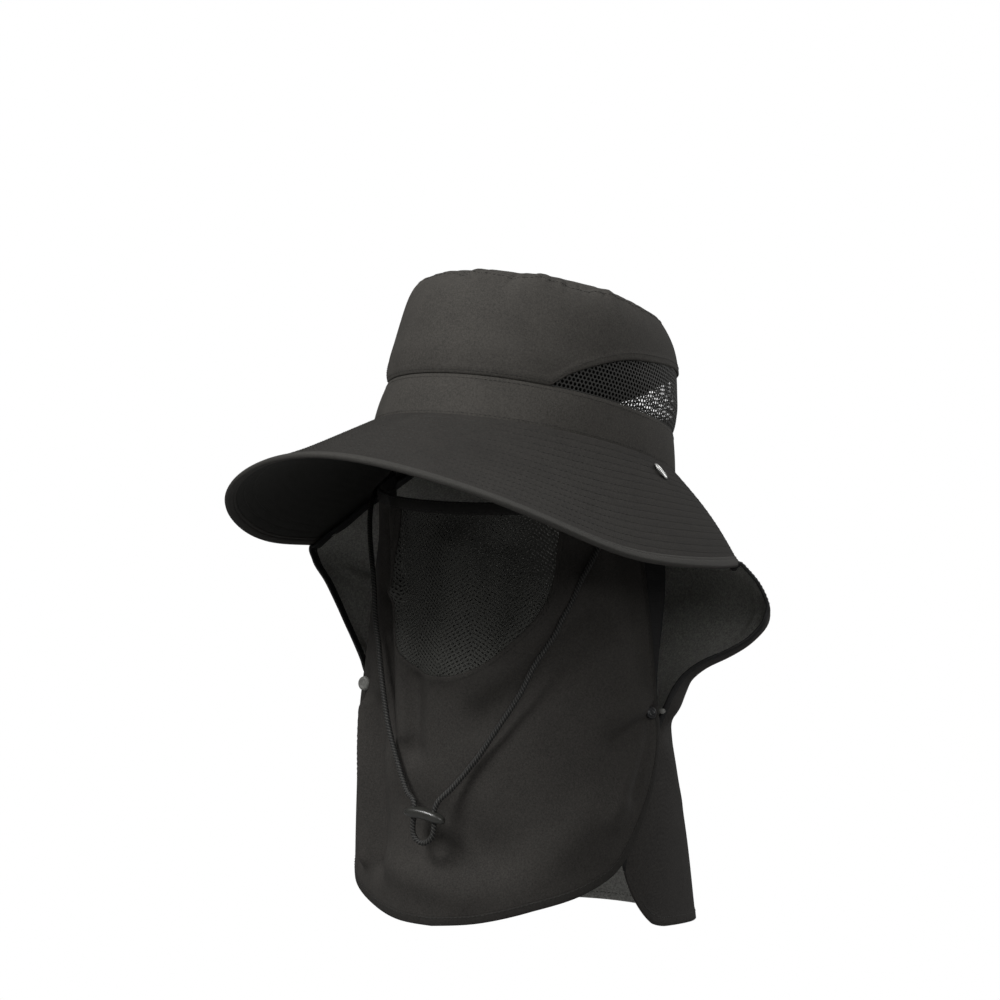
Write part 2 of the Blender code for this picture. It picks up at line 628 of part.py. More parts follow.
def build_cape(cloth, dark):
    """Neck cape and the dark tapes along its two front edges."""
    turn_steps = np.sin(np.radians(np.linspace(-90.0, 90.0, 33))) * 0.35
    turn_steps = turn_steps + np.linspace(-0.65, 0.65, 33)
    drops = np.array([0.0, 0.055, 0.11, 0.165, 0.215, 0.255, 0.285, 0.315, 0.345, 0.375,
                      0.405, 0.435, 0.47, 0.51, 0.555, 0.61, 0.69, 0.77, 0.85, 0.93, 1.0])
    rows = []
    for drop in drops:
        inner = 1.0 - edge_share(drop) * (1.0 + 5.0 * GAP / CAPE_EDGE)
        rows.append(cape_point(turn_steps * inner, np.full_like(turn_steps, drop)))
    thick_sheet("neck_cape", np.array(rows), CAPE_CLOTH, cloth)
    for name, side in (("cape_tape_left", 1.0), ("cape_tape_right", -1.0)):
        rows = []
        for drop in drops:
            turns = side * np.array([1.0, 1.0 - edge_share(drop)])
            rows.append(cape_point(turns, np.full_like(turns, drop)))
        thick_sheet(name, np.array(rows), CAPE_BINDING_CLOTH, dark)


def veil_course(table, along, side):
    """Angle and height of a veil outline at a place along its course."""
    turn = side * blend(table, "along", along, "turn")
    z = blend(table, "along", along, "z")
    if table is NET_OUTLINE:
        return turn + blend(table, "along", along, "slant"), z
    ramp = np.clip((along - 0.40) / 0.46, 0.0, 1.0)
    return turn, z + VEIL_SKEW * math.sin(math.radians(turn)) * ramp


def veil_band(shares_at, columns):
    """Grid of the veil between its outline and the net, by share across."""
    rows = []
    for share_name in shares_at:
        row = []
        for along, side in columns:
            turn_a, z_a = veil_course(VEIL_OUTLINE, along, side)
            turn_b, z_b = veil_course(NET_OUTLINE, along, side)
            width = np.linalg.norm(veil_point(turn_a, z_a) - veil_point(turn_b, z_b))
            share = share_name(width)
            turn = turn_a + (turn_b - turn_a) * share
            z = z_a + (z_b - z_a) * share
            flat = VEIL_OUTLINE[0]["z"] + (NET_OUTLINE[0]["z"] - VEIL_OUTLINE[0]["z"]) * share
            top = veil_top(turn) - VEIL_TOP_BINDING - GAP
            z = z + (top - flat) * max(0.0, 1.0 - along / 0.20)
            row.append(veil_point(turn, z))
        rows.append(row)
    return np.array(rows)


def build_veil(cloth, net):
    """Veil cloth, its net panel and its bindings."""
    steps = np.array([0.0, 0.10, 0.20, 0.32, 0.42, 0.50, 0.56, 0.61, 0.66, 0.71, 0.76,
                      0.81, 0.87, 0.93, 1.0])
    columns = [(along, 1.0) for along in steps]
    columns += [(along, -1.0) for along in steps[::-1][1:]]
    spans = [
        lambda width, part=part: (VEIL_SIDE_BINDING + GAP) / width
        + (1.0 - (VEIL_SIDE_BINDING + 2.0 * GAP) / width) * part
        for part in np.linspace(0.0, 1.0, 7)
    ]
    thick_sheet("face_veil", veil_band(spans, columns), VEIL_CLOTH, cloth)
    strips = [lambda width, part=part: VEIL_SIDE_BINDING * part / width for part in (0.0, 1.0)]
    thick_sheet("veil_edge_binding", veil_band(strips, columns), VEIL_BINDING_CLOTH, cloth)

    rows = []
    for along in np.linspace(0.0, 1.0, 11):
        left, z = veil_course(NET_OUTLINE, along, 1.0)
        right, z = veil_course(NET_OUTLINE, along, -1.0)
        turns = np.linspace(right, left, 15)
        top = veil_top(turns) - VEIL_TOP_BINDING - GAP
        level = z + (top - NET_OUTLINE[0]["z"]) * max(0.0, 1.0 - along / 0.20)
        rows.append(veil_point(turns, level))
    thick_sheet("veil_mesh", np.array(rows), MESH_CLOTH, net)

    turns = np.linspace(-90.0, 90.0, 31)
    rows = [veil_point(turns, veil_top(turns) - VEIL_TOP_BINDING * share) for share in (0.0, 1.0)]
    thick_sheet("veil_top_binding", np.array(rows), VEIL_BINDING_CLOTH, cloth)


def build_fittings(plastic, snap_finish, cord_finish):
    """Snaps, cord lock and chin cord."""
    places = (
        ("snap_left", SNAP_LEFT_TURN, SNAP_LEFT_Z),
        ("snap_right", SNAP_RIGHT_TURN, SNAP_RIGHT_Z),
    )
    for name, turn, z in places:
        middle = veil_point(turn, z)
        around = veil_point(turn + 0.5, z) - veil_point(turn - 0.5, z)
        normal = np.array([around[1], -around[0], 0.0])
        if normal[0] * middle[0] < 0.0:
            normal = -normal
        normal = normal / np.linalg.norm(normal)
        base = middle + normal * (0.5 * VEIL_BINDING_CLOTH + GAP)
        outline = [
            (0.0, 0.0),
            (SNAP_RADIUS, 0.0),
            (SNAP_RADIUS, SNAP_HEIGHT * 0.45),
            (SNAP_RADIUS * 0.86, SNAP_HEIGHT * 0.85),
            (SNAP_RADIUS * 0.45, SNAP_HEIGHT),
            (0.0, SNAP_HEIGHT * 0.92),
        ]
        lathe_ring(name, outline, base, normal, snap_finish)

    build_lock(plastic)

    curve = bpy.data.curves.new("chin_cord", "CURVE")
    curve.dimensions = "3D"
    curve.bevel_depth = 0.5 * CORD_DIAMETER
    curve.bevel_resolution = 2
    curve.use_fill_caps = True
    spline = curve.splines.new("POLY")
    spline.points.add(len(CORD_COURSE) - 1)
    for point, place in zip(spline.points, CORD_COURSE):
        point.co = (*place, 1.0)
    cord = bpy.data.objects.new("chin_cord", curve)
    bpy.context.scene.collection.objects.link(cord)
    curve.materials.append(cord_finish)


def build_lock(plastic):
    """Cord lock: a softly arched bar with two upright holes."""
    centre = np.array(LOCK_CENTRE)
    rings = 10
    sides = 12
    points = []
    for step in range(rings + 1):
        place = -1.0 + 2.0 * step / rings
        size = math.sqrt(max(0.0, 1.0 - abs(place) ** 3.5))
        size = max(size, 0.12)
        droop = -0.0016 * place * place
        for side in range(sides):
            turn = 2.0 * math.pi * side / sides
            across = abs(math.cos(turn)) ** 0.8 * math.copysign(1.0, math.cos(turn))
            upright = abs(math.sin(turn)) ** 0.8 * math.copysign(1.0, math.sin(turn))
            along = 0.5 * LOCK_WIDTH * place
            high = 0.5 * LOCK_HEIGHT * size * upright + droop
            points.append(centre + np.array([
                along * math.cos(LOCK_TILT) + high * math.sin(LOCK_TILT),
                0.5 * LOCK_DEPTH * size * across,
                high * math.cos(LOCK_TILT) - along * math.sin(LOCK_TILT),
            ]))
    faces = []
    for step in range(rings):
        for side in range(sides):
            after = (side + 1) % sides
            faces.append((step * sides + side, step * sides + after,
                          (step + 1) * sides + after, (step + 1) * sides + side))
    faces.append(tuple(range(sides)))
    faces.append(tuple(range(rings * sides, (rings + 1) * sides)))
    lock = add_body("cord_lock", points, faces, plastic)
    for index, side in enumerate((0.5, -0.5)):
        bpy.ops.mesh.primitive_cylinder_add(
            vertices=12,
            radius=0.5 * LOCK_HOLE,
            depth=3.0 * LOCK_HEIGHT,
            location=(centre[0] + side * LOCK_HOLE_SPACING, centre[1], centre[2]),
            rotation=(0.0, side * 2.0 * LOCK_HOLE_LEAN, 0.0),
        )
        cutter = bpy.context.object
        cutter.name = "lock_cutter_%d" % index
        cutter.hide_render = True
        cutter.display_type = "WIRE"
        cut = lock.modifiers.new("hole_%d" % index, "BOOLEAN")
        cut.operation = "DIFFERENCE"
        cut.solver = "EXACT"
        cut.object = cutter


clear_scene()
CLOTH = new_material("charcoal_cloth", (0.045, 0.042, 0.038), 0.85)
BRIM_FINISH = new_material("brim_cloth", (0.045, 0.042, 0.038), 0.85)
CAPE_FINISH = new_material("cape_cloth", (0.040, 0.038, 0.035), 0.88)
VEIL_FINISH = new_material("veil_cloth", (0.050, 0.048, 0.044), 0.85)
BINDING = new_material("black_binding", (0.012, 0.012, 0.012), 0.75)
NET = new_material("black_net", (0.020, 0.020, 0.020), 0.7)
METAL = new_material("eyelet_metal", (0.75, 0.75, 0.74), 0.25, 1.0)
PLASTIC = new_material("black_plastic", (0.012, 0.012, 0.013), 0.18)
SNAP = new_material("snap_plastic", (0.020, 0.020, 0.021), 0.45)
CORD = new_material("braided_cord", (0.020, 0.020, 0.021), 0.7)

build_crown(CLOTH, NET)
build_brim(BRIM_FINISH, BINDING, METAL)
build_cape(CAPE_FINISH, BINDING)
build_veil(VEIL_FINISH, NET)
build_fittings(PLASTIC, SNAP, CORD)
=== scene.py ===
"""Looks of the flap sun hat, built as cloth, net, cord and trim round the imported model.

Metres, +Z up. The wearer faces -Y and the wearer's left is +X. Crown, band and brim are
worked out in a level frame (x, v to the rear, w up) and leaned back; cape, veil and cord
hang straight down. Every cloth is a middle surface given by a formula on a grid, with
its folds added along the normal, and closed to a wall of its own thickness.
"""
import logging
import math
from dataclasses import dataclass, field
from enum import Enum
from typing import Callable, Sequence

import bmesh
import bpy
import numpy as np
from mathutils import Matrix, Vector


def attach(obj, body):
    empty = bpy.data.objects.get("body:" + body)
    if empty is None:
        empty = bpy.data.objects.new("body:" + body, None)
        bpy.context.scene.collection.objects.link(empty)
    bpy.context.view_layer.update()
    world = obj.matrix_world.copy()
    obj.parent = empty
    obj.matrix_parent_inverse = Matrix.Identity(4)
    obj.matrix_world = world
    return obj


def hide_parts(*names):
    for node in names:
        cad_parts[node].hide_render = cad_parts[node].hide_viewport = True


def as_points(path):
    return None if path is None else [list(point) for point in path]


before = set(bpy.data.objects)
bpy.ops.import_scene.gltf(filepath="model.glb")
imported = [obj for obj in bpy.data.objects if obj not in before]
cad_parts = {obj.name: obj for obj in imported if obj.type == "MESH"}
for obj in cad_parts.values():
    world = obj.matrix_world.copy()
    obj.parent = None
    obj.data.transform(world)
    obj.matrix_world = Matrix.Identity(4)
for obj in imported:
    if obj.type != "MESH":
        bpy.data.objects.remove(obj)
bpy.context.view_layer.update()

LOG = logging.getLogger("flap_sun_hat")
ROOT = "root"
Array = np.ndarray
Pair = tuple[Array, Array]
Rows = Sequence[Sequence[float]]
Piece = bpy.types.Object
Material = bpy.types.Material
Socket = bpy.types.NodeSocket

# Course of the chin cord in millimetres: from the left eyelet over the veil, through the
# lock, round the small loop, back through the lock and up to the right eyelet
CORD_ROUTE = (
    (89.5, -4, -12.5), (90.6, -7.2, -15.8), (90.8, -12.5, -19.2), (89.3, -19, -22.2),
    (85.8, -29.9, -29.5), (81.5, -37.5, -38), (77.3, -43.7, -46.7), (75, -48.3, -55.3),
    (71.8, -53, -64.2), (69.7, -56, -71.6), (67.5, -59, -79.1), (64.4, -62.5, -87.2),
    (61.8, -65.6, -95.4), (57.7, -69.4, -103.5), (53.4, -72.9, -111.7), (50.5, -75.9, -119.8),
    (47.4, -78.8, -128), (43.1, -82, -136.2), (38.7, -85.3, -144.4), (33.7, -87.9, -152.8),
    (28.6, -90.1, -161.2), (23.8, -92, -167.7), (19.1, -94, -174.1), (13, -96.8, -181.5),
    (7.8, -99.6, -187), (5.8, -100.9, -192), (5.7, -101.2, -198), (5.7, -101.6, -203.8),
    (4.7, -102, -207.5), (2.1, -102.2, -210.3), (-1.4, -102.3, -211.3), (-4.9, -102.2, -210.3),
    (-7.5, -102, -207.5), (-8.4, -101.6, -203.8), (-8, -101.2, -198), (-7.4, -100.9, -192),
    (-9.8, -99.2, -187.8), (-15.1, -96.4, -185.8), (-20.1, -94, -179.5), (-24.2, -92.2, -172.4),
    (-28.5, -90.3, -164.6), (-32.5, -88.5, -156.7), (-36.4, -86.4, -147.6),
    (-40.8, -83.1, -137.1), (-44.6, -79.9, -127.5), (-48.6, -76.3, -118),
    (-51.9, -73.1, -107.7), (-56.2, -69.4, -98.6), (-59.8, -66, -88.8), (-62.2, -63.3, -77.7),
    (-66, -59.6, -66.6), (-70.8, -54.5, -57), (-76, -48.5, -47), (-80, -43, -38),
    (-83.5, -36.5, -30), (-87.2, -27.5, -24), (-89.7, -19, -21.5), (-90.8, -12.5, -19),
    (-90.6, -7.2, -15.8), (-89.5, -4, -12.5),
)


# Small numeric tools


def smooth(value: Array) -> Array:
    """Ease a value from 0 to 1 with level ends: 3t^2 - 2t^3 of the clipped value."""
    t = np.clip(value, 0.0, 1.0)
    return t * t * (3.0 - 2.0 * t)


def stack(*arrays: Array | float) -> Array:
    """Arrays of like shape, put side by side along a new last axis."""
    return np.stack(np.broadcast_arrays(*arrays), axis=-1)


def steps(count: int) -> Array:
    """Shares from 0 to 1, one in each row."""
    return np.linspace(0.0, 1.0, count)[:, None]


def around(columns: int) -> Array:
    """Angles of the columns, from the front round to the front."""
    return 2.0 * np.pi * np.arange(columns) / columns


def hermite(t: Array, start: Array, leaving: Array, end: Array, arriving: Array) -> Array:
    """Cubic through two values with two slopes, t from 0 to 1 between them."""
    return (start * (2 * t**3 - 3 * t**2 + 1) + leaving * (t**3 - 2 * t**2 + t)
            + end * (3 * t**2 - 2 * t**3) + arriving * (t**3 - t**2))


def swell(angle: Array, degrees: float, width: float) -> Array:
    """A round rise of 1 at an angle, exp(-2 (1 - cos d) / width squared) at a distance d."""
    return np.exp(-2.0 * (1.0 - np.cos(angle - math.radians(degrees))) / width**2)


def unit(vectors: Array) -> Array:
    """Vectors divided by their lengths."""
    size = np.linalg.norm(vectors, axis=-1, keepdims=True)
    return vectors / np.maximum(size, 1e-12)


@dataclass(frozen=True)
class Table:
    """Rows of measured sizes, read as smooth curves.

    Attributes:
        columns: Name of each column; the first is the key.
        rows: Values, one row for each key.
    """

    columns: tuple[str, ...]
    rows: Rows

    def read(self, wanted: str, at: Array) -> Array:
        """Read a column with a cubic Hermite curve that is level at turning points.

        Args:
            wanted: Name of the column.
            at: Keys to read it at.

        Returns:
            Values of the column at the keys.
        """
        data = np.array(self.rows, dtype=float)
        if data[0, 0] > data[-1, 0]:
            data = data[::-1]
        knots = data[:, 0]
        values = data[:, self.columns.index(wanted)]
        slopes = np.gradient(values, knots)
        steps = np.diff(values) / np.diff(knots)
        turning = steps[:-1] * steps[1:] <= 0.0
        slopes[1:-1] = np.where(turning, 0.0, slopes[1:-1])
        at = np.clip(np.asarray(at, dtype=float), knots[0], knots[-1])
        spot = np.clip(np.searchsorted(knots, at) - 1, 0, len(knots) - 2)
        width = knots[spot + 1] - knots[spot]
        t = (at - knots[spot]) / width
        return hermite(t, values[spot], slopes[spot] * width, values[spot + 1],
                       slopes[spot + 1] * width)


@dataclass(frozen=True)
class Fold:
    """One soft fold of a cloth: a ridge, or a valley where the height is negative.

    Attributes:
        start: Where the fold begins, as (across, up) in metres on the flat cloth.
        end: Where it dies out.
        width: Half width at which it has fallen to about a third.
        height: Height of the ridge along the cloth's normal.
    """

    start: tuple[float, float]
    end: tuple[float, float]
    width: float
    height: float

    def relief(self, across: Array, up: Array) -> Array:
        """Height times exp(-(distance from the line / width) squared)."""
        line = np.array(self.end) - np.array(self.start)
        rel_a = across - self.start[0]
        rel_u = up - self.start[1]
        share = np.clip((rel_a * line[0] + rel_u * line[1]) / (line @ line), 0.0, 1.0)
        gap = np.hypot(rel_a - share * line[0], rel_u - share * line[1])
        return self.height * np.exp(-((gap / self.width) ** 2))


def folds_of(*rows: tuple[float, ...]) -> tuple[Fold, ...]:
    """Folds from rows in millimetres: start, end, half width and height."""
    return tuple(Fold((a / 1000, b / 1000), (c / 1000, d / 1000), width / 1000, height / 1000)
                 for a, b, c, d, width, height in rows)


def grid_normals(grid: Array, wrap: bool) -> Array:
    """Unit normals of a grid of points.

    The normal is the cross product of the step along a row and the step across rows.

    Args:
        grid: Points, shape (rows, columns, 3).
        wrap: Whether the last column joins the first.

    Returns:
        Normals of the same shape.
    """
    if wrap:
        along = np.roll(grid, -1, axis=1) - np.roll(grid, 1, axis=1)
    else:
        along = np.gradient(grid, axis=1)
    return unit(np.cross(along, np.gradient(grid, axis=0)))


def grid_quads(rows: int, columns: int, ring: bool = False, wrap: bool = True) -> Array:
    """Corner numbers of a grid's quads, its points counted row by row.

    Args:
        rows: Rows of points.
        columns: Points in each row.
        ring: Whether the last row joins the first.
        wrap: Whether the last column joins the first.

    Returns:
        Quads, shape (n, 4).
    """
    r = np.arange(rows if ring else rows - 1)[:, None]
    c = np.arange(columns if wrap else columns - 1)[None, :]
    r_next = (r + 1) % rows
    c_next = (c + 1) % columns
    return stack(r * columns + c, r * columns + c_next, r_next * columns + c_next,
                     r_next * columns + c).reshape(-1, 4)


def arc_lengths(points: Array, axis: int = 0) -> Array:
    """Running length along a line of points, or along an axis of a grid, from 0."""
    lengths = np.linalg.norm(np.diff(points, axis=axis), axis=-1)
    return np.concatenate([0.0 * lengths.take([0], axis), lengths.cumsum(axis)], axis)


def resample(points: Array, count: int) -> Array:
    """A line of points laid again at even distances, count of them."""
    length = arc_lengths(points)
    at = np.linspace(0.0, length[-1], count)
    return np.stack([np.interp(at, length, points[:, axis]) for axis in range(3)], axis=-1)


# Meshes


@dataclass
class MeshParts:
    """Arrays that make one mesh.

    Attributes:
        vertices: Points, shape (n, 3).
        faces: Arrays of faces, each (m, k) with k corners.
        uvs: Matching arrays of corner places on the flat cloth, each (m, k, 2).
        marks: Named values kept at the vertices for the finish.
    """

    vertices: Array
    faces: list[Array]
    uvs: list[Array] = field(default_factory=list)
    marks: dict[str, Array] = field(default_factory=dict)

    @staticmethod
    def joined(parts: Sequence["MeshParts"]) -> "MeshParts":
        """Several meshes in one, their faces shifted past the earlier vertices."""
        faces: list[Array] = []
        uvs: list[Array] = []
        start = 0
        for part in parts:
            faces += [block + start for block in part.faces]
            uvs += part.uvs
            start += len(part.vertices)
        return MeshParts(np.concatenate([part.vertices for part in parts]), faces, uvs)

    def make(self, name: str, finish: Material, sharp: float = 50.0) -> Piece:
        """Put the arrays into a new object at the origin.

        Args:
            name: Name of the piece.
            finish: Its material.
            sharp: Angle in degrees past which an edge is shown sharp.

        Returns:
            The new object, linked to the scene.
        """
        mesh = bpy.data.meshes.new(name)
        corners = np.concatenate([block.ravel() for block in self.faces])
        sizes = np.concatenate([np.full(len(block), block.shape[1]) for block in self.faces])
        starts = np.concatenate([[0], np.cumsum(sizes)[:-1]])
        mesh.vertices.add(len(self.vertices))
        mesh.vertices.foreach_set("co", self.vertices.astype(np.float32).ravel())
        mesh.loops.add(len(corners))
        mesh.loops.foreach_set("vertex_index", corners.astype(np.int32))
        mesh.polygons.add(len(sizes))
        mesh.polygons.foreach_set("loop_start", starts.astype(np.int32))
        mesh.update(calc_edges=True)
        if self.uvs:
            layer = mesh.uv_layers.new(name="Cloth")
            flat = np.concatenate([block.reshape(-1, 2) for block in self.uvs])
            layer.data.foreach_set("uv", flat.astype(np.float32).ravel())
        for key, values in self.marks.items():
            layer = mesh.attributes.new(key, "FLOAT", "POINT")
            layer.data.foreach_set("value", values.astype(np.float32).ravel())
        mesh.polygons.foreach_set("use_smooth", np.ones(len(sizes), dtype=bool))
        mesh.set_sharp_from_angle(angle=math.radians(sharp))
        mesh.validate(clean_customdata=False)
        mesh.materials.append(finish)
        piece = bpy.data.objects.new(name, mesh)
        bpy.context.scene.collection.objects.link(piece)
        return piece


@dataclass(frozen=True)
class ClothWall:
    """A closed wall round a middle surface, with a rounded rim.

    Attributes:
        cloth: Thickness of the wall.
        wrap: Whether the surface closes on itself along its rows.
        inside: A point on the inner side of the cloth; the first face looks away from it.
        rim_steps: Points in the half circle that rounds each long rim.
        rim_reach: How far the rim bulges, as a share of half the thickness.
    """

    cloth: float
    wrap: bool = False
    inside: tuple[float, float, float] = (0.0, 0.0, 0.0)
    rim_steps: int = 2
    rim_reach: float = 0.6

    def build(self, grid: Array, half: Array | None = None) -> MeshParts:
        """Wrap the wall round a grid.

        The section is one loop: the outer face's rows, a half circle round the last
        row, the inner face's rows in reverse, and a half circle round the first row.

        Args:
            grid: Middle surface, shape (rows, columns, 3).
            half: Half thickness at each point, or None for half the cloth everywhere.

        Returns:
            The wall, with its flat-cloth places in metres and a mark 'inner' that is
            0 on the outer face and 1 on the inner one.
        """
        half = np.broadcast_to(0.5 * self.cloth if half is None else half, grid.shape[:2])
        normals = grid_normals(grid, self.wrap)
        if np.mean(np.sum(normals * (grid - np.array(self.inside)), axis=-1)) < 0.0:
            grid = grid[:, ::-1]
            half = half[:, ::-1]
            normals = grid_normals(grid, self.wrap)
        rows, columns = grid.shape[:2]
        turns = np.pi * np.arange(1, self.rim_steps + 1) / (self.rim_steps + 1)

        def rim(row: int, beside: int, first: float) -> Array:
            """Half circle round a long edge, from the face named by first to the other."""
            out = grid[row] - grid[beside]
            out = unit(out - np.sum(out * normals[row], axis=-1, keepdims=True) * normals[row])
            swing = first * np.cos(turns)[:, None, None] * normals[row]
            swing = swing + self.rim_reach * np.sin(turns)[:, None, None] * out
            return grid[row] + half[row][:, None] * swing

        offset = half[..., None] * normals
        section = np.concatenate([
            grid + offset, rim(-1, -2, 1.0), (grid - offset)[::-1], rim(0, 1, -1.0)])
        loop = len(section)
        order = np.concatenate([np.arange(rows), np.full(self.rim_steps, rows - 1),
                                np.arange(rows)[::-1], np.zeros(self.rim_steps, dtype=int)])
        inner = np.repeat([0.0, 1.0, 0.0], [rows + self.rim_steps, rows, self.rim_steps])

        # Places on the flat cloth: length along each row, and across at each column
        sheet = np.concatenate([grid, grid[:, :1]], axis=1) if self.wrap else grid
        u = arc_lengths(sheet, 1)
        flat = stack(u - 0.5 * u[:, -1:], arc_lengths(sheet))[order]
        faces = [grid_quads(loop, columns, True, self.wrap)]
        uvs = [flat.reshape(-1, 2)[grid_quads(loop, sheet.shape[1], True, False)]]
        if not self.wrap:
            r = np.arange(rows - 1)
            back = rows + self.rim_steps + (rows - 1 - r)
            for column, turned in ((0, False), (columns - 1, True)):
                strip = stack(r, r + 1, back - 1, back) * columns + column
                strip = strip[:, ::-1] if turned else strip
                faces.append(strip)
                uvs.append(np.repeat(flat[r, column][:, None], 4, axis=1))
                last = np.arange(rows - 1, rows + self.rim_steps + 1)
                first = np.concatenate([np.arange(loop - self.rim_steps - 1, loop), [0]])
                for ring in (last, first):
                    cap = ring[None, :] * columns + column
                    cap = cap[:, ::-1] if turned else cap
                    faces.append(cap)
                    uvs.append(np.repeat(flat[ring[:1], column][:, None], len(ring), axis=1))
        return MeshParts(section.reshape(-1, 3), faces, uvs,
                         {"inner": np.repeat(inner, columns)})


def lathe(outline: Rows, centre: Array, axis: Array,
          sides: int = 48) -> MeshParts:
    """Closed outline of (radius, height) pairs carried round an axis.

    A point is centre + radius * (cos t * side + sin t * other) + height * axis.

    Args:
        outline: Pairs in the order of the section.
        centre: Foot of the axis.
        axis: Unit direction of the axis.
        sides: Steps round the circle.

    Returns:
        The turned ring or disc.
    """
    axis = unit(np.asarray(axis, dtype=float))
    side = unit(np.cross(axis, np.array([0.0, 0.0, 1.0]) + 1e-3))
    other = np.cross(axis, side)
    t = 2.0 * np.pi * np.arange(sides)[:, None, None] / sides
    pairs = np.array(outline)
    spoke = np.cos(t) * side + np.sin(t) * other
    points = centre + pairs[None, :, :1] * spoke + pairs[None, :, 1:] * axis
    quads = grid_quads(sides, len(outline), True)[:, [0, 3, 2, 1]]
    return MeshParts(points.reshape(-1, 3), [quads])


def close_doubles(piece: Piece, distance: float) -> None:
    """Merge a piece's doubled points and turn its faces outward."""
    work = bmesh.new()
    work.from_mesh(piece.data)
    bmesh.ops.remove_doubles(work, verts=work.verts, dist=distance)
    bmesh.ops.dissolve_degenerate(work, edges=work.edges, dist=1e-7)
    bmesh.ops.recalc_face_normals(work, faces=work.faces)
    work.to_mesh(piece.data)
    work.free()


@dataclass(frozen=True)
class Thread:
    """Sewing thread laid in separate stitches.

    Attributes:
        pitch: Distance from one stitch to the next.
        share: Part of the pitch that a stitch covers.
        radius: Half thickness of the thread.
    """

    pitch: float = 0.0026
    share: float = 0.72
    radius: float = 0.00016

    def run(self, path: Array, normals: Array, lift: float, closed: bool = False) -> MeshParts:
        """Lay stitches along a line on a cloth.

        Each stitch is a spindle: two tips sunk to the cloth and two squares between.

        Args:
            path: Points of the line on the middle of the cloth.
            normals: Outward normals there.
            lift: Height of the cloth's face over its middle.
            closed: Whether the line ends where it starts.

        Returns:
            All the stitches of the line.
        """
        if closed:
            path = np.concatenate([path, path[:1]])
            normals = np.concatenate([normals, normals[:1]])
        length = arc_lengths(path)
        count = max(1, int(length[-1] / self.pitch))
        starts = (np.arange(count) + 0.5 * (1.0 - self.share)) * length[-1] / count

        def at(where: Array, values: Array) -> Array:
            """Values of the line at running lengths."""
            return np.stack([np.interp(where, length, values[:, k]) for k in range(3)], axis=-1)

        rows = []
        for along, high, wide in ((0.0, -0.3, 0.0), (0.25, 0.75, 1.0), (0.75, 0.75, 1.0),
                                  (1.0, -0.3, 0.0)):
            where = starts + along * self.share * self.pitch
            place = at(where, path)
            normal = unit(at(where, normals))
            ahead = unit(at(where + 1e-4, path) - at(where - 1e-4, path))
            across = np.cross(ahead, normal)
            centre = place + normal * (lift + high * self.radius)
            if wide:
                for a, b in ((1.0, 0.0), (0.0, 1.0), (-1.0, 0.0), (0.0, -1.0)):
                    rows.append(centre + self.radius * (a * across + b * normal))
            else:
                rows.append(centre)
        points = np.stack(rows, axis=1)
        base = 10 * np.arange(count)[:, None]
        k = np.arange(4)
        nxt = (k + 1) % 4
        tri_a = stack(base, base + 1 + nxt, base + 1 + k)
        quads = stack(base + 1 + k, base + 1 + nxt, base + 5 + nxt, base + 5 + k)
        tri_b = stack(base + 5 + k, base + 5 + nxt, base + 9)
        return MeshParts(points.reshape(-1, 3), [tri_a.reshape(-1, 3), quads.reshape(-1, 4),
                                                 tri_b.reshape(-1, 3)])


@dataclass(frozen=True)
class NetCells:
    """A net as a thin cloth with one hole in each cell of a regular pattern.

    Attributes:
        cloth: Thickness of the net.
        cell: Corners of a cell round its middle, in flat places.
        hole: Corners of its hole, as many as the cell has.
    """

    cloth: float
    cell: Rows
    hole: Rows

    def build(self, middles: Array, surface: Callable[[Array, Array], Pair]) -> MeshParts:
        """Lay the cells on a surface.

        Args:
            middles: Flat places of the cells' middles, shape (n, 2).
            surface: Gives points and outward normals for arrays of flat places.

        Returns:
            The net: two faces, a wall round each hole and a wall round its outside.
        """
        corners = len(self.cell)
        outer = middles[:, None, :] + np.array(self.cell)[None]
        hole = middles[:, None, :] + np.array(self.hole)[None]
        keys = np.round(outer.reshape(-1, 2) / 2e-6).astype(np.int64)
        _, first, number = np.unique(keys, axis=0, return_index=True, return_inverse=True)
        number = number.reshape(-1, corners)
        places = np.concatenate([outer.reshape(-1, 2)[first], hole.reshape(-1, 2)])
        points, normals = surface(places[:, 0], places[:, 1])
        total = len(places)
        vertices = np.concatenate([points + 0.5 * self.cloth * normals,
                                   points - 0.5 * self.cloth * normals])
        inner = len(first) + np.arange(len(middles) * corners).reshape(-1, corners)
        nxt = np.roll(number, -1, axis=1)
        inner_nxt = np.roll(inner, -1, axis=1)
        front = stack(number, nxt, inner_nxt, inner).reshape(-1, 4)
        back = front[:, ::-1] + total
        walls = stack(inner, inner_nxt, inner_nxt + total, inner + total)
        pairs = stack(number, nxt).reshape(-1, 2)
        _, spot, count = np.unique(np.sort(pairs, axis=1), axis=0, return_index=True,
                                   return_counts=True)
        rim = pairs[spot[count == 1]]
        outside = stack(rim[:, 1], rim[:, 0], rim[:, 0] + total, rim[:, 1] + total)
        faces = [front, back, walls.reshape(-1, 4), outside]
        both = np.concatenate([places, places])
        return MeshParts(vertices, faces, [both[block] for block in faces])


# Forms of the hat


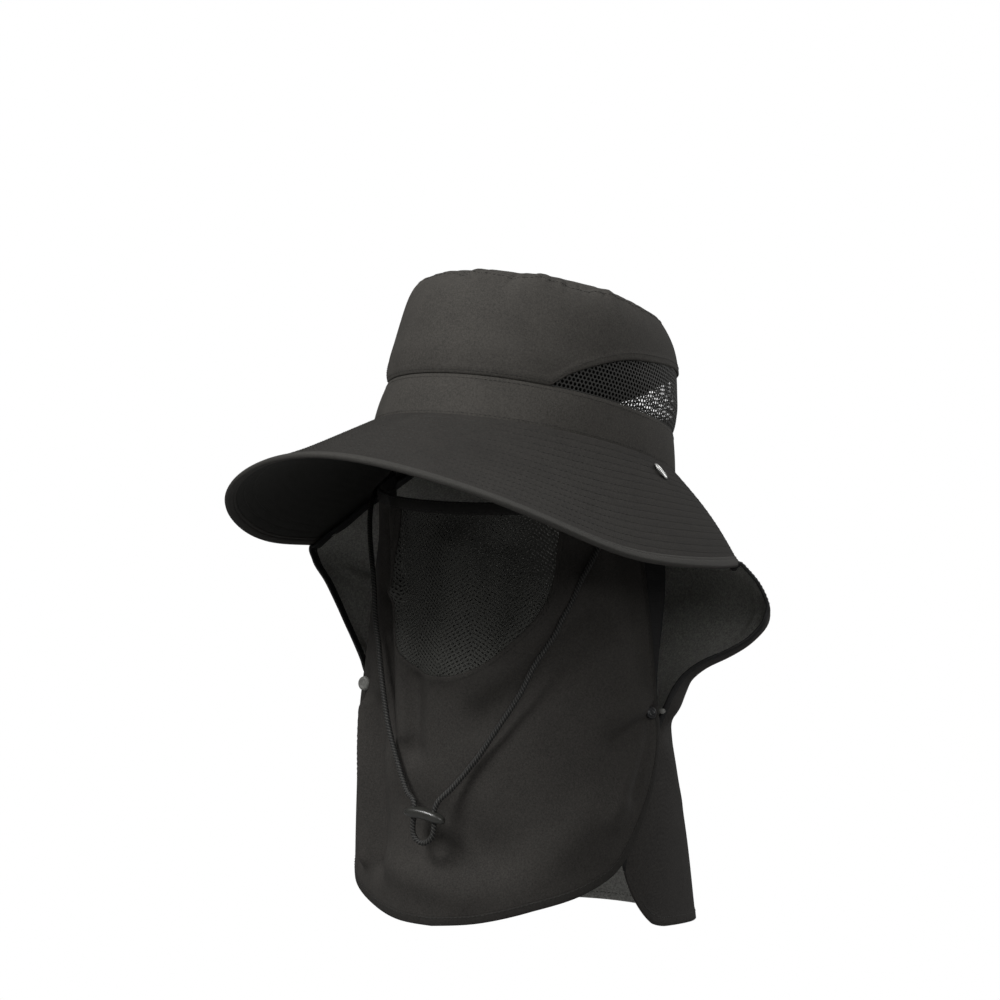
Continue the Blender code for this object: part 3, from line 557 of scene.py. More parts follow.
@dataclass(frozen=True)
class HatForm:
    """Crown, band and brim in the level frame, and the lean that sets them on the head.

    Attributes:
        half_length: Half length of the head ring.
        half_width: Half width of the head ring.
        tilt: Lean to the rear.
        band_height: Height of the band over the brim seam.
        band_top: Scale of the head ring at the band's top.
        crown_cloth: Thickness of the crown.
        vent_start: Angle from the front at which the vent begins, in degrees.
        vent_shift: How far round the arch's low middle lies from the rear, in degrees.
        brim_series: Mean, front and corner parts of the brim's length.
        slope_series: Slope of the brim in degrees as a cosine series.
        brim_drop: How far the brim's middle lies under the band's foot.
        seam_zone: How far inside the seam the brim's underside still counts.
        free_zone: Where a hanging cloth comes free of the brim: how far inside its edge
            that starts, and over what distance.
        edge_rise: Rise of the free cloth's ceiling for each metre past the edge.
        tip_seam: Profile row of the seam between wall and tip.
        profile: Crown profile by row.
        arch: Rise of the vent over the band by angle.
    """

    half_length: float = 0.1
    half_width: float = 0.083
    tilt: float = math.radians(15.0)
    band_height: float = 0.0237
    band_top: float = 0.95
    crown_cloth: float = 0.0016
    vent_start: float = 44.0
    vent_shift: float = 9.0
    brim_series: tuple[float, float, float] = (0.0787, 0.0238, -0.002)
    slope_series: tuple[float, ...] = (47.5, -13.4, -2.2, -6.2)
    brim_drop: float = 0.0007
    seam_zone: float = 0.0024
    free_zone: tuple[float, float] = (0.003, 0.005)
    edge_rise: float = 1.4
    tip_seam: float = 8.0
    profile: Table = Table(("row", "scale", "height"), (
        (0, 0.95, 0.0237), (1, 0.964, 0.03), (2, 0.966, 0.0376), (3, 0.95, 0.0486),
        (4, 0.928, 0.0597), (5, 0.9, 0.069), (6, 0.862, 0.0767), (7, 0.812, 0.083),
        (8, 0.75, 0.0873), (9, 0.66, 0.0903), (10, 0.45, 0.0926), (11, 0.2, 0.0938),
        (12, 0.02, 0.0941)))
    arch: Table = Table(("angle", "rise"), (
        (44, 0), (52, 0.0095), (60, 0.016), (69, 0.0225), (93, 0.031), (112, 0.035),
        (139, 0.0366), (151, 0.0342), (161, 0.0305), (171, 0.0274), (177, 0.0255), (180, 0.0252)))

    def lean(self, x: Array, v: Array, w: Array) -> Array:
        """Turn level places into leaned ones: y = v cos + w sin, z = w cos - v sin."""
        y = v * math.cos(self.tilt) + w * math.sin(self.tilt)
        z = w * math.cos(self.tilt) - v * math.sin(self.tilt)
        return stack(x, y, z)

    def ring(self, angle: Array, scale: Array | float = 1.0, out: Array | float = 0.0) -> Pair:
        """Point of the head ellipse at an angle from the front, moved outward by out."""
        x = self.half_width * scale * np.sin(angle)
        v = -self.half_length * scale * np.cos(angle)
        n_x = np.sin(angle) / self.half_width
        n_v = -np.cos(angle) / self.half_length
        size = np.hypot(n_x, n_v)
        return x + out * n_x / size, v + out * n_v / size

    def crown(self, angle: Array, row: Array, out: Array | float = 0.0) -> Array:
        """Point of the crown: the head ring scaled and raised by the profile's row."""
        scale = self.profile.read("scale", row)
        height = self.profile.read("height", row)
        inset = -0.5 * self.crown_cloth * np.clip(scale / self.band_top, 0.0, 1.0)
        x, v = self.ring(angle, scale, inset + out)
        return self.lean(x, v, height)

    def crown_row(self, height: Array) -> Array:
        """Row of the profile at a height over the brim seam."""
        rows = np.array(self.profile.rows)
        return Table(("height", "row"), tuple(map(tuple, rows[:, [2, 0]]))).read("row", height)

    def vent_rise(self, angle: Array) -> Array:
        """Height of the vent arch over the band at an angle from the front."""
        signed = np.degrees(np.arctan2(np.sin(angle), np.cos(angle)))
        shifted = signed - self.vent_shift * smooth((np.abs(signed) - 110.0) / 40.0)
        turned = np.abs(np.mod(shifted + 180.0, 360.0) - 180.0)
        rise = self.arch.read("rise", np.maximum(turned, self.vent_start))
        return np.where(turned < self.vent_start, 0.0, rise)

    def brim_length(self, angle: Array) -> Array:
        """Length of the brim along its slope: mean + front cos a + corner cos 3a."""
        mean, front, corner = self.brim_series
        return mean + front * np.cos(angle) + corner * np.cos(3.0 * angle)

    def brim_slope(self, angle: Array) -> Array:
        """Slope of the brim under the horizontal, in radians."""
        return np.radians(sum(s * np.cos(n * angle) for n, s in enumerate(self.slope_series)))

    def brim(self, angle: Array, share: Array, lift: Array | float = 0.0) -> Array:
        """Point of the brim: share runs from the seam (0) to the edge (1)."""
        length = self.brim_length(angle)
        slope = self.brim_slope(angle)
        bow = (0.0007 - 0.004 * np.cos(angle)) * np.sin(np.pi * share) + lift
        out = length * share * np.cos(slope) + bow * np.sin(slope)
        x, v = self.ring(angle, 1.0, out)
        w = bow * np.cos(slope) - length * share * np.sin(slope) - self.brim_drop
        return self.lean(x, v, w)

    def below_brim(self, points: Array, seam_gap: float, gap: float) -> Array:
        """Keep points under the brim's underside, and free them where they pass its edge.

        Args:
            points: Points of a cloth that hangs from the seam.
            seam_gap: Least distance from the brim's middle at the seam.
            gap: Least distance further out.

        Returns:
            The points, lowered where they would reach the brim.
        """
        c = math.cos(self.tilt)
        s = math.sin(self.tilt)
        x = points[..., 0]
        v = points[..., 1] * c - points[..., 2] * s
        w = points[..., 1] * s + points[..., 2] * c
        angle = np.arctan2(x / self.half_width, -v / self.half_length)
        ring_x, ring_v = self.ring(angle)
        away_x, away_v = self.ring(angle, 1.0, 1.0)
        out = (x - ring_x) * (away_x - ring_x) + (v - ring_v) * (away_v - ring_v)
        slope = self.brim_slope(angle)
        edge = self.brim_length(angle) * np.cos(slope)
        bow = (0.0007 - 0.004 * np.cos(angle)) * np.sin(np.pi * np.clip(out / edge, 0.0, 1.0))
        room = seam_gap + (gap - seam_gap) * np.clip((out + self.seam_zone) / 0.03, 0.0, 1.0)
        ceiling = -self.brim_drop - np.maximum(out, -self.seam_zone) * np.tan(slope)
        ceiling = ceiling + (bow - room) / np.cos(slope)
        before, over = self.free_zone
        freed = smooth((out - edge + before) / over)
        ceiling = ceiling + (room / np.cos(slope) + 0.005) * freed
        ceiling = ceiling + self.edge_rise * np.maximum(out - edge, 0.0)
        return self.lean(x, v, np.minimum(w, ceiling))


@dataclass(frozen=True)
class VeilForm:
    """Face veil: a rounded section by height, its outline and its folds.

    Attributes:
        cloth: Thickness of the veil cloth.
        centre_y: Middle of the section, front to rear.
        top_side: Height of the top edge at the temples.
        top_dip: How much lower the top edge lies over the nose.
        top_band: Height of the bound top edge.
        hem: Width of the sides' and the hem's own turned edge.
        skew: How much further the wearer's left side of the hem hangs up.
        reach: Radius by which angles become flat widths.
        ridge_scale: Factor on the ridges among the folds.
        valley_scale: Factor on the valleys.
        sections: Half width and depth of the section by height.
        outline: Angle and height of the outline from a temple to the hem's middle.
        net: The same of the net panel, and the slant of its middle.
        folds: Soft folds in flat places (reach times angle, height).
    """

    cloth: float = 0.0012
    centre_y: float = -0.01
    top_side: float = -0.0145
    top_dip: float = 0.0095
    top_band: float = 0.0065
    hem: float = 0.005
    skew: float = 0.006
    reach: float = 0.085
    ridge_scale: float = 1.35
    valley_scale: float = 1.9
    sections: Table = Table(("z", "wide", "deep"), (
        (-0.01, 0.086, 0.064), (-0.045, 0.084, 0.066), (-0.07, 0.087, 0.0675),
        (-0.09, 0.0895, 0.069), (-0.115, 0.092, 0.072), (-0.145, 0.095, 0.078),
        (-0.2, 0.0955, 0.083), (-0.262, 0.0955, 0.085)))
    outline: Table = Table(("along", "turn", "z"), (
        (0, 90, -0.0145), (0.2, 90, -0.07), (0.4, 90, -0.13), (0.56, 87.5, -0.178),
        (0.64, 80, -0.204), (0.71, 69, -0.229), (0.78, 55, -0.2415), (0.86, 36, -0.2502),
        (0.94, 16, -0.2568), (1, 0, -0.2585)))
    net: Table = Table(("along", "turn", "z", "slant"), (
        (0, 37, -0.025, 8.5), (0.2, 36.5, -0.045, 8), (0.4, 35, -0.067, 6.5),
        (0.56, 31.5, -0.083, 4.5), (0.64, 27.5, -0.0945, 2), (0.71, 22.6, -0.1055, -1),
        (0.78, 17, -0.113, -2), (0.86, 11, -0.118, -2.5), (0.94, 5, -0.1205, -2.5),
        (1, 0, -0.121, -2.5)))
    folds: tuple[Fold, ...] = folds_of(
        (-52, -20, -40, -76, 4.5, 2.6), (-40, -76, -23, -154, 5, 2.2),
        (-66, -20, -53, -76, 7, -3.6), (-53, -76, -35, -156, 7, -2.8),
        (-64, -145, -57, -230, 4.5, 3.4), (-74, -145, -67, -230, 5, -2.6),
        (-50, -144, -43, -230, 8, -3.4), (-20, -125, -15, -162, 7.5, -2.6),
        (4, -50, 0, -112, 13, 4.2), (31, -50, 27, -105, 11, -2.6), (18, -118, 76, -70, 12, 2.6),
        (26, -142, 90, -90, 12, -3.6), (98, -50, 108, -130, 11, 2),
        (128, -142, 108, -185, 5, -2.6), (128, -144, 96, -198, 6.5, 2.2),
        (128, -140, 98, -156, 6, -2.2), (124, -138, 90, -140, 7, 1.6),
        (-20, -200, 40, -220, 18, -2.4), (-30, -230, 20, -240, 9, 2),
        (40, -235, 98, -185, 14, 2.2))

    def relief(self, turn: Array, z: Array) -> Array:
        """Height of all folds, level near the bound edges, with a slow wave at the hem."""
        across = self.reach * np.radians(turn)
        raised = sum(fold.relief(across, z) for fold in self.folds)
        raised = raised * np.where(raised > 0.0, self.ridge_scale, self.valley_scale)
        low = smooth((-0.15 - z) / 0.11)
        wave = 0.001 * low * np.cos(across / 0.0125 + 0.6)
        calm = smooth((self.top(turn) - z) / 0.014) * smooth((92.0 - np.abs(turn)) / 9.0)
        return (raised + wave) * (0.15 + 0.85 * calm)

    def at(self, turn: Array, z: Array, lift: Array | float = 0.0) -> Array:
        """Point of the veil at an angle round the face in degrees and a height.

        x = wide sin a and y = centre - deep cos a, both grown by the relief and lift.

        Args:
            turn: Angles from the front, wearer's left positive.
            z: Heights.
            lift: Extra distance outward.

        Returns:
            Points on the middle of the cloth.
        """
        turn, z = np.broadcast_arrays(np.asarray(turn, float), np.asarray(z, float))
        angle = np.radians(turn)
        grown = self.relief(turn, z) + lift
        x = (self.sections.read("wide", z) + grown) * np.sin(angle)
        y = self.centre_y - (self.sections.read("deep", z) + grown) * np.cos(angle)
        return stack(x, y, z)

    def normal(self, turn: Array, z: Array) -> Array:
        """Outward normal of the veil."""
        step = 0.4
        around = self.at(turn + step, z) - self.at(turn - step, z)
        upward = self.at(turn, z + 5e-4) - self.at(turn, z - 5e-4)
        return unit(np.cross(around, upward))

    def top(self, turn: Array) -> Array:
        """Height of the top edge, lower over the nose than at the temples."""
        return self.top_side - self.top_dip * np.clip(np.cos(np.radians(turn)), 0.0, 1.0) ** 0.6

    def course(self, table: Table, along: Array, side: Array) -> Pair:
        """Angle and height of an outline at places along its course.

        Args:
            table: The veil's outline or the net's.
            along: Places from the temple (0) to the hem's middle (1).
            side: 1 for the wearer's left, -1 for the right.

        Returns:
            Angles in degrees and heights.
        """
        turn = side * table.read("turn", along)
        z = table.read("z", along)
        if "slant" in table.columns:
            return turn + table.read("slant", along), z
        ramp = np.clip((along - 0.4) / 0.46, 0.0, 1.0)
        return turn, z + self.skew * np.sin(np.radians(turn)) * ramp

    def between(self, along: Array, side: Array, depths: Callable[[Array], Array]) -> Pair:
        """Angles and heights of the cloth between its outline and the net.

        Args:
            along: Places along the course, one for each column.
            side: Side of each column.
            depths: Gives, from the width at each column, the rows' shares of it.

        Returns:
            Grids of angles and heights, rows from the outline to the net.
        """
        turn_a, z_a = self.course(self.outline, along, side)
        turn_b, z_b = self.course(self.net, along, side)
        width = np.linalg.norm(self.at(turn_a, z_a) - self.at(turn_b, z_b), axis=-1)
        share = depths(width)
        turn = turn_a + (turn_b - turn_a) * share
        z = z_a + (z_b - z_a) * share
        level = self.outline.rows[0][2] + (self.net.rows[0][2] - self.outline.rows[0][2]) * share
        top = self.top(turn) - self.top_band - 0.0003
        return turn, z + (top - level) * np.clip(1.0 - along / 0.2, 0.0, 1.0)


@dataclass(frozen=True)
class CapeForm:
    """Neck cape: two front edges, a rounded rear, a hem and soft folds.

    Attributes:
        hat: Form that it is sewn to.
        veil: Form that its front hangs behind.
        cloth: Thickness.
        inset: How far inside the head ring its seam lies.
        hem_z: Height of the hem at the front edges.
        rear_drop: How much lower the hem hangs behind.
        corner: Radius of the hem's front corners.
        corner_from: Share of the drop at which the corners begin.
        fold_depth: Depth of the waves at the hem.
        tuck: How far its front lies behind the veil.
        brim_gaps: Least distance from the brim's middle at the seam and further out.
        reach: Radius by which angles become flat widths.
        left: Wearer's left front edge by height.
        right: Wearer's right front edge by height.
        rear: Middle of the rear by height and how pointed the section is.
        folds: Soft folds in flat places (reach times signed angle from the rear, height).
    """

    hat: HatForm = HatForm()
    veil: VeilForm = VeilForm()
    cloth: float = 0.0014
    inset: float = 0.0024
    hem_z: float = -0.2635
    rear_drop: float = 0.018
    corner: float = 0.046
    corner_from: float = 0.72
    fold_depth: float = 0.0035
    tuck: float = 0.0036
    brim_gaps: Sequence[float] = (0.0026, 0.0029)
    reach: float = 0.11
    left: Table = Table(("z", "wide", "middle", "turn"), (
        (-0.002, 0.0806, 0, 85), (-0.03, 0.1, 0.012, 90), (-0.047, 0.114, 0.022, 90),
        (-0.0625, 0.126, 0.033, 90), (-0.07, 0.1305, 0.038, 90), (-0.0767, 0.1332, 0.041, 90),
        (-0.0841, 0.1356, 0.042, 90), (-0.0907, 0.136, 0.038, 90), (-0.0977, 0.1337, 0.032, 90),
        (-0.103, 0.13, 0.025, 90), (-0.1081, 0.1234, 0.016, 90), (-0.1133, 0.1135, 0.009, 90),
        (-0.1201, 0.1052, 0.003, 90), (-0.128, 0.1, -0.001, 90), (-0.138, 0.0965, -0.005, 90),
        (-0.148, 0.092, -0.006, 90), (-0.16, 0.0915, -0.01, 94), (-0.195, 0.0915, -0.01, 101),
        (-0.235, 0.0917, -0.01, 109)))
    right: Table = Table(("z", "wide", "middle", "turn"), (
        (-0.002, 0.0806, 0, 84), (-0.022, 0.0975, 0.001, 90), (-0.035, 0.11, -0.012, 90),
        (-0.045, 0.119, -0.02, 90), (-0.0577, 0.134, -0.03, 90), (-0.0665, 0.135, -0.026, 90),
        (-0.0791, 0.1305, -0.02, 90), (-0.0923, 0.1264, -0.015, 90), (-0.1063, 0.1225, -0.01, 90),
        (-0.118, 0.119, -0.006, 90), (-0.1272, 0.115, -0.005, 90), (-0.1365, 0.1105, -0.005, 90),
        (-0.148, 0.093, -0.006, 90), (-0.16, 0.0915, -0.01, 94), (-0.195, 0.0915, -0.01, 101),
        (-0.235, 0.0917, -0.01, 109)))
    rear: Table = Table(("z", "rear", "point"), (
        (-0.002, 0.0945, 1), (-0.03, 0.098, 1.2), (-0.06, 0.1, 1.7), (-0.086, 0.095, 2),
        (-0.113, 0.085, 2), (-0.135, 0.08, 1.8), (-0.15, 0.079, 1.3), (-0.19, 0.088, 0.9),
        (-0.235, 0.1, 0.8), (-0.2635, 0.108, 0.8)))
    folds: tuple[Fold, ...] = folds_of(
        (140, -75, 128, -100, 5, -1.6), (150, -90, 120, -112, 6, 1.6),
        (165, -148, 120, -118, 6, 2), (165, -152, 105, -140, 7, -1),
        (160, -158, 115, -190, 9, 0.7), (-150, -70, -120, -85, 4.5, -1.4),
        (-160, -115, -115, -125, 5, 1.6), (-160, -150, -120, -110, 5.5, -1.8),
        (-160, -150, -100, -165, 6.5, 1.8), (-30, -110, 40, -135, 8, -1.8),
        (-60, -135, 60, -160, 9, 1.4), (60, -150, 75, -270, 9, 2.2),
        (-65, -160, -90, -270, 9, 2.2))

    def at(self, turn: Array, drop: Array) -> Array:
        """Point of the cape.

        Each height has an ellipse through the two front edges and the rear; the rows
        run from the leaned seam to the hem, and waves grow toward the hem.

        Args:
            turn: -1 at the right front edge, 0 behind, 1 at the left front edge.
            drop: 0 at the seam, 1 at the hem.

        Returns:
            Points on the middle of the cloth.
        """
        turn, drop = np.broadcast_arrays(np.asarray(turn, float), np.asarray(drop, float))
        level = -0.002 + (self.hem_z + 0.002) * drop
        side = np.abs(turn)

        def edge(wanted: str) -> Array:
            """A front edge's column, of the side that each point is on."""
            return np.where(turn >= 0.0, self.left.read(wanted, level),
                            self.right.read(wanted, level))

        def shared(wanted: str) -> Array:
            """The same column, blended to the mean of both sides behind."""
            mean = 0.5 * (self.left.read(wanted, level) + self.right.read(wanted, level))
            return mean + (edge(wanted) - mean) * smooth(side / 0.6)

        middle = shared("middle")
        wide = shared("wide")
        reach = edge("turn")
        angle = np.radians(reach) * side
        behind = np.cos(angle) > 0.0
        veil_deep = self.veil.sections.read("deep", level) - self.tuck
        deep = np.where(behind, self.rear.read("rear", level) - middle, veil_deep)
        wave = self.fold_depth * drop**2 * np.cos(7.0 * angle)
        wave = wave * np.clip(1.0 - 1.25 * side, 0.0, 1.0)
        place = np.sign(turn) * angle * self.reach
        soft = sum(fold.relief(place, level) for fold in self.folds)
        wave = wave + soft * smooth((1.0 - side) / 0.1) * smooth(drop / 0.2)
        curve = np.where(behind, np.abs(np.sin(angle)) ** self.rear.read("point", level),
                         np.sin(angle))
        x = np.sign(turn) * (wide + wave) * curve
        y = middle + (deep + wave) * np.cos(angle)
        seam_x, seam_v = self.hat.ring(np.pi - np.sign(turn) * angle, 1.0, -self.inset)
        seam = self.hat.lean(seam_x, seam_v, -0.0026)
        hem = self.hem_z - self.rear_drop * np.cos(angle)
        length = np.radians(reach) * (1.0 - side) * 0.1
        near = np.clip(1.0 - length / self.corner, 0.0, 1.0)
        low = np.clip((drop - self.corner_from) / (1.0 - self.corner_from), 0.0, 1.0)
        rise = self.corner * (1.0 - np.sqrt(np.clip(1.0 - near**2, 0.0, 1.0))) * low * low
        settle = smooth(drop / 0.1)
        x = seam[..., 0] + (x - seam[..., 0]) * settle
        y = seam[..., 1] + (y - seam[..., 1]) * settle
        z = seam[..., 2] + (hem - seam[..., 2]) * drop + rise
        return self.hat.below_brim(stack(x, y, z), *self.brim_gaps)

    def edge_share(self, drop: Array, width: float) -> Array:
        """Share of the half width that a strip of a given width takes at each drop."""
        turns = steps(33)
        line = self.at(turns, np.asarray(drop)[None, :])
        length = np.linalg.norm(np.diff(line, axis=0), axis=-1).sum(axis=0)
        return width / length


# Finishes


Colour = tuple[float, float, float]


class Slot(Enum):
    """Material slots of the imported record."""

    CROWN = "crown_cloth"
    BRIM = "brim_cloth"
    CAPE = "cape_cloth"
    VEIL = "veil_cloth"
    BINDING = "binding"
    NET = "net"
    EYELET = "eyelet_metal"
    SNAP = "snap_plastic"
    LOCK = "lock_plastic"
    CORD = "cord"


class Nodes:
    """A node tree that is laid out step by step."""

    def __init__(self, tree: bpy.types.NodeTree) -> None:
        """Keep the tree that the nodes go into."""
        self.tree = tree

    def add(self, kind: str, inputs: dict[str, object] | None = None,
            **settings: object) -> bpy.types.Node:
        """Add a node.

        Args:
            kind: Type name after 'ShaderNode'.
            inputs: Values or sockets for its inputs by name.
            settings: Its own properties.

        Returns:
            The node.
        """
        node = self.tree.nodes.new("ShaderNode" + kind)
        for key, value in settings.items():
            setattr(node, key, value)
        self.wire(node, inputs or {})
        return node

    def wire(self, node: bpy.types.Node, inputs: dict[str, object]) -> None:
        """Link or set several inputs of a node by name."""
        for key, value in inputs.items():
            self.feed(node.inputs[key], value)

    def feed(self, socket: Socket, value: object) -> None:
        """Link a socket to another or set its value."""
        if isinstance(value, Socket):
            self.tree.links.new(value, socket)
        else:
            socket.default_value = value

    def sum(self, operation: str, *values: object) -> Socket:
        """Result of a Math node on numbers or sockets."""
        node = self.add("Math", operation=operation)
        for socket, value in zip(node.inputs, values):
            self.feed(socket, value)
        return node.outputs[0]

    def fit(self, value: object, low: float, high: float, to_low: float = 0.0,
            to_high: float = 1.0) -> Socket:
        """Value carried from one range to another, held inside it."""
        node = self.add("MapRange", {"Value": value, "From Min": low, "From Max": high,
                                     "To Min": to_low, "To Max": to_high})
        return node.outputs[0]

    def noise(self, vector: object, scale: float, detail: float = 2.0) -> Socket:
        """Factor of a noise at a number of grains per metre."""
        node = self.add("TexNoise", {"Vector": vector, "Scale": scale, "Detail": detail,
                                     "Roughness": 0.55})
        return node.outputs["Fac"]

    def blend(self, factor: object, first: object, second: object) -> Socket:
        """Colour between two colours."""
        node = self.add("Mix", data_type="RGBA")
        self.feed(node.inputs[0], factor)
        self.feed(node.inputs[6], first)
        self.feed(node.inputs[7], second)
        return node.outputs[2]

    def bump(self, height: object, strength: float, distance: float) -> Socket:
        """Normal raised by a height."""
        return self.add("Bump", {"Strength": strength, "Distance": distance,
                                 "Height": height}).outputs["Normal"]


def rgba(colour: Colour, scale: float = 1.0) -> tuple[float, float, float, float]:
    """A colour with alpha 1, made lighter or darker."""
    return (colour[0] * scale, colour[1] * scale, colour[2] * scale, 1.0)


class Patterns:
    """Node groups that several finishes share, each built once."""

    def __init__(self) -> None:
        """Build the groups."""
        self.weave = self._weave()
        self.mottle = self._mottle()

    @staticmethod
    def _group(name: str, inputs: dict[str, float | None], output: str) -> tuple:
        """Start a group with float inputs (None for a vector) and one float output."""
        tree = bpy.data.node_groups.new(name, "ShaderNodeTree")
        for key, value in inputs.items():
            kind = "NodeSocketVector" if value is None else "NodeSocketFloat"
            socket = tree.interface.new_socket(name=key, in_out="INPUT", socket_type=kind)
            if value is not None:
                socket.default_value = value
        tree.interface.new_socket(name=output, in_out="OUTPUT", socket_type="NodeSocketFloat")
        return (Nodes(tree), tree.nodes.new("NodeGroupInput").outputs,
                tree.nodes.new("NodeGroupOutput").inputs[output])

    def _weave(self) -> bpy.types.NodeTree:
        """Plain weave: |sin| humps of warp and weft, each on top in every other square."""
        nodes, source, sink = self._group(
            "plain_weave", {"Vector": None, "Threads": 1600.0}, "Height")
        parts = nodes.add("SeparateXYZ", {"Vector": source["Vector"]}).outputs
        rate = nodes.sum("MULTIPLY", source["Threads"], math.pi)
        warp = nodes.sum("SINE", nodes.sum("MULTIPLY", parts["X"], rate))
        weft = nodes.sum("SINE", nodes.sum("MULTIPLY", parts["Y"], rate))
        over = nodes.sum("GREATER_THAN", nodes.sum("MULTIPLY", warp, weft), 0.0)
        under = nodes.sum("SUBTRACT", 1.0, over)
        first = nodes.sum("MULTIPLY", nodes.sum("ABSOLUTE", warp), over)
        second = nodes.sum("MULTIPLY", nodes.sum("ABSOLUTE", weft), under)
        nodes.feed(sink, nodes.sum("ADD", first, second))
        return nodes.tree

    def _mottle(self) -> bpy.types.NodeTree:
        """Uneven dye: grains of three sizes added up round one half."""
        nodes, source, sink = self._group(
            "uneven_dye", {"Vector": None, "Fine": 0.5, "Broad": 0.5}, "Shade")
        shade: object = 0.5
        for scale, key in ((2100.0, "Fine"), (950.0, "Fine"), (60.0, "Broad"), (14.0, "Broad")):
            grain = nodes.sum("SUBTRACT", nodes.noise(source["Vector"], scale), 0.5)
            shade = nodes.sum("ADD", shade, nodes.sum("MULTIPLY", grain, source[key]))
        nodes.feed(sink, shade)
        return nodes.tree


@dataclass(frozen=True)
class Finish:
    """Base of every finish: a Principled shader and what all of them set on it.

    Attributes:
        name: Name of the material.
        colour: Colour of the outer face.
        roughness: Mean roughness.
    """

    name: str
    colour: Colour
    roughness: float = 0.8

    def start(self) -> tuple[Material, Nodes, bpy.types.Node]:
        """Make the material, its nodes and its shader."""
        material = bpy.data.materials.new(self.name)
        material.use_nodes = True
        nodes = Nodes(material.node_tree)
        shader = material.node_tree.nodes["Principled BSDF"]
        shader.inputs["Base Color"].default_value = rgba(self.colour)
        shader.inputs["Roughness"].default_value = self.roughness
        return material, nodes, shader

    def make(self, patterns: Patterns) -> Material:
        """Make the plain finish."""
        return self.start()[0]


@dataclass(frozen=True)
class ClothFinish(Finish):
    """Woven cloth with uneven dye, and a brushed inner face where it has one.

    Attributes:
        inner: Colour of the inner face, or None for the outer one's.
        threads: Threads for each metre.
        fine: Contrast of the fine grain.
        broad: Contrast of the broad grain.
        fuzz: Contrast of the pale flecks on the inner face.
        relief: Strength of the weave's bump.
    """

    inner: Colour | None = None
    threads: float = 1500.0
    fine: float = 0.5
    broad: float = 0.25
    fuzz: float = 0.0
    relief: float = 0.35

    def make(self, patterns: Patterns) -> Material:
        """Mix two tones of the dye by the mottle and bump the weave."""
        material, nodes, shader = self.start()
        places = nodes.add("TexCoord").outputs
        flat = nodes.add("UVMap", uv_map="Cloth").outputs["UV"]
        weave = nodes.add("Group", node_tree=patterns.weave)
        nodes.wire(weave, {"Vector": flat, "Threads": self.threads})
        dye = nodes.add("Group", node_tree=patterns.mottle)
        nodes.wire(dye, {"Vector": places["Object"], "Fine": self.fine, "Broad": self.broad})
        shade = nodes.fit(dye.outputs["Shade"], 0.2, 0.8)
        colour = nodes.blend(shade, rgba(self.colour, 0.62), rgba(self.colour, 1.38))
        height = weave.outputs["Height"]
        if self.inner is not None:
            inner = nodes.add("Attribute", attribute_name="inner").outputs["Fac"]
            fleck = nodes.fit(nodes.noise(places["Object"], 900.0, 3.0), 0.42, 0.68)
            fleck = nodes.sum("MULTIPLY", fleck, self.fuzz)
            brushed = nodes.blend(shade, rgba(self.inner, 0.75), rgba(self.inner, 1.25))
            brushed = nodes.blend(fleck, brushed, rgba(self.inner, 2.1))
            colour = nodes.blend(inner, colour, brushed)
            height = nodes.sum("ADD", height, nodes.sum("MULTIPLY", inner, fleck))
        rough = nodes.fit(dye.outputs["Shade"], 0.2, 0.8, self.roughness - 0.06,
                          min(1.0, self.roughness + 0.06))
        nodes.wire(shader, {"Base Color": colour, "Roughness": rough,
                            "Normal": nodes.bump(height, self.relief, 0.00012),
                            "Specular IOR Level": 0.25})
        return material


@dataclass(frozen=True)
class TapeFinish(Finish):
    """Grosgrain tape: close ribs across the strip.

    Attributes:
        ribs: Ribs for each metre of tape.
    """

    ribs: float = 1100.0

    def make(self, patterns: Patterns) -> Material:
        """Ribs |sin| along the strip, with painted shade between them, and a little uneven dye."""
        material, nodes, shader = self.start()
        places = nodes.add("UVMap", uv_map="Cloth").outputs["UV"]
        flat = nodes.add("SeparateXYZ", {"Vector": places})
        wave = nodes.sum("SINE", nodes.sum("MULTIPLY", flat.outputs["X"], self.ribs * math.pi))
        rib = nodes.sum("ABSOLUTE", wave)
        grain = nodes.noise(nodes.add("TexCoord").outputs["Object"], 500.0)
        # Painted shade: the colour darkens in the grooves between the ribs
        shade = nodes.sum("MULTIPLY", nodes.fit(rib, 0.0, 1.0, 0.6, 1.0),
                          nodes.fit(grain, 0.3, 0.7, 0.7, 1.0))
        colour = nodes.blend(shade, rgba(self.colour, 0.5), rgba(self.colour, 1.3))
        nodes.wire(shader, {"Base Color": colour, "Specular IOR Level": 0.3,
                            "Normal": nodes.bump(rib, 0.5, 0.00015)})
        return material


@dataclass(frozen=True)
class CordFinish(Finish):
    """Braided cord with a painted highlight on the crowns of its strands and painted shade between
    them.

    Attributes:
        crown: Colour on the crowns of the strands, a painted highlight.
    """

    crown: Colour = (0.17, 0.166, 0.152)

    def make(self, patterns: Patterns) -> Material:
        """Colour by the strand crests kept in the mesh, painted highlight on them and painted shade
        between, and by fine fibres round the cord.
        """
        material, nodes, shader = self.start()
        braid = nodes.add("Attribute", attribute_name="braid").outputs["Fac"]
        fibre = nodes.noise(nodes.add("TexCoord").outputs["Object"], 1500.0, 3.0)
        # Painted highlight: the strand crests get the pale colour, the hollows between them the
        # dark one
        share = nodes.sum("MULTIPLY", nodes.fit(braid, 0.76, 1.0), nodes.fit(fibre, 0.3, 0.7, 0.6))
        nodes.wire(shader, {
            "Base Color": nodes.blend(share, rgba(self.colour), rgba(self.crown)),
            "Normal": nodes.bump(fibre, 0.4, 0.0001)})
        return material


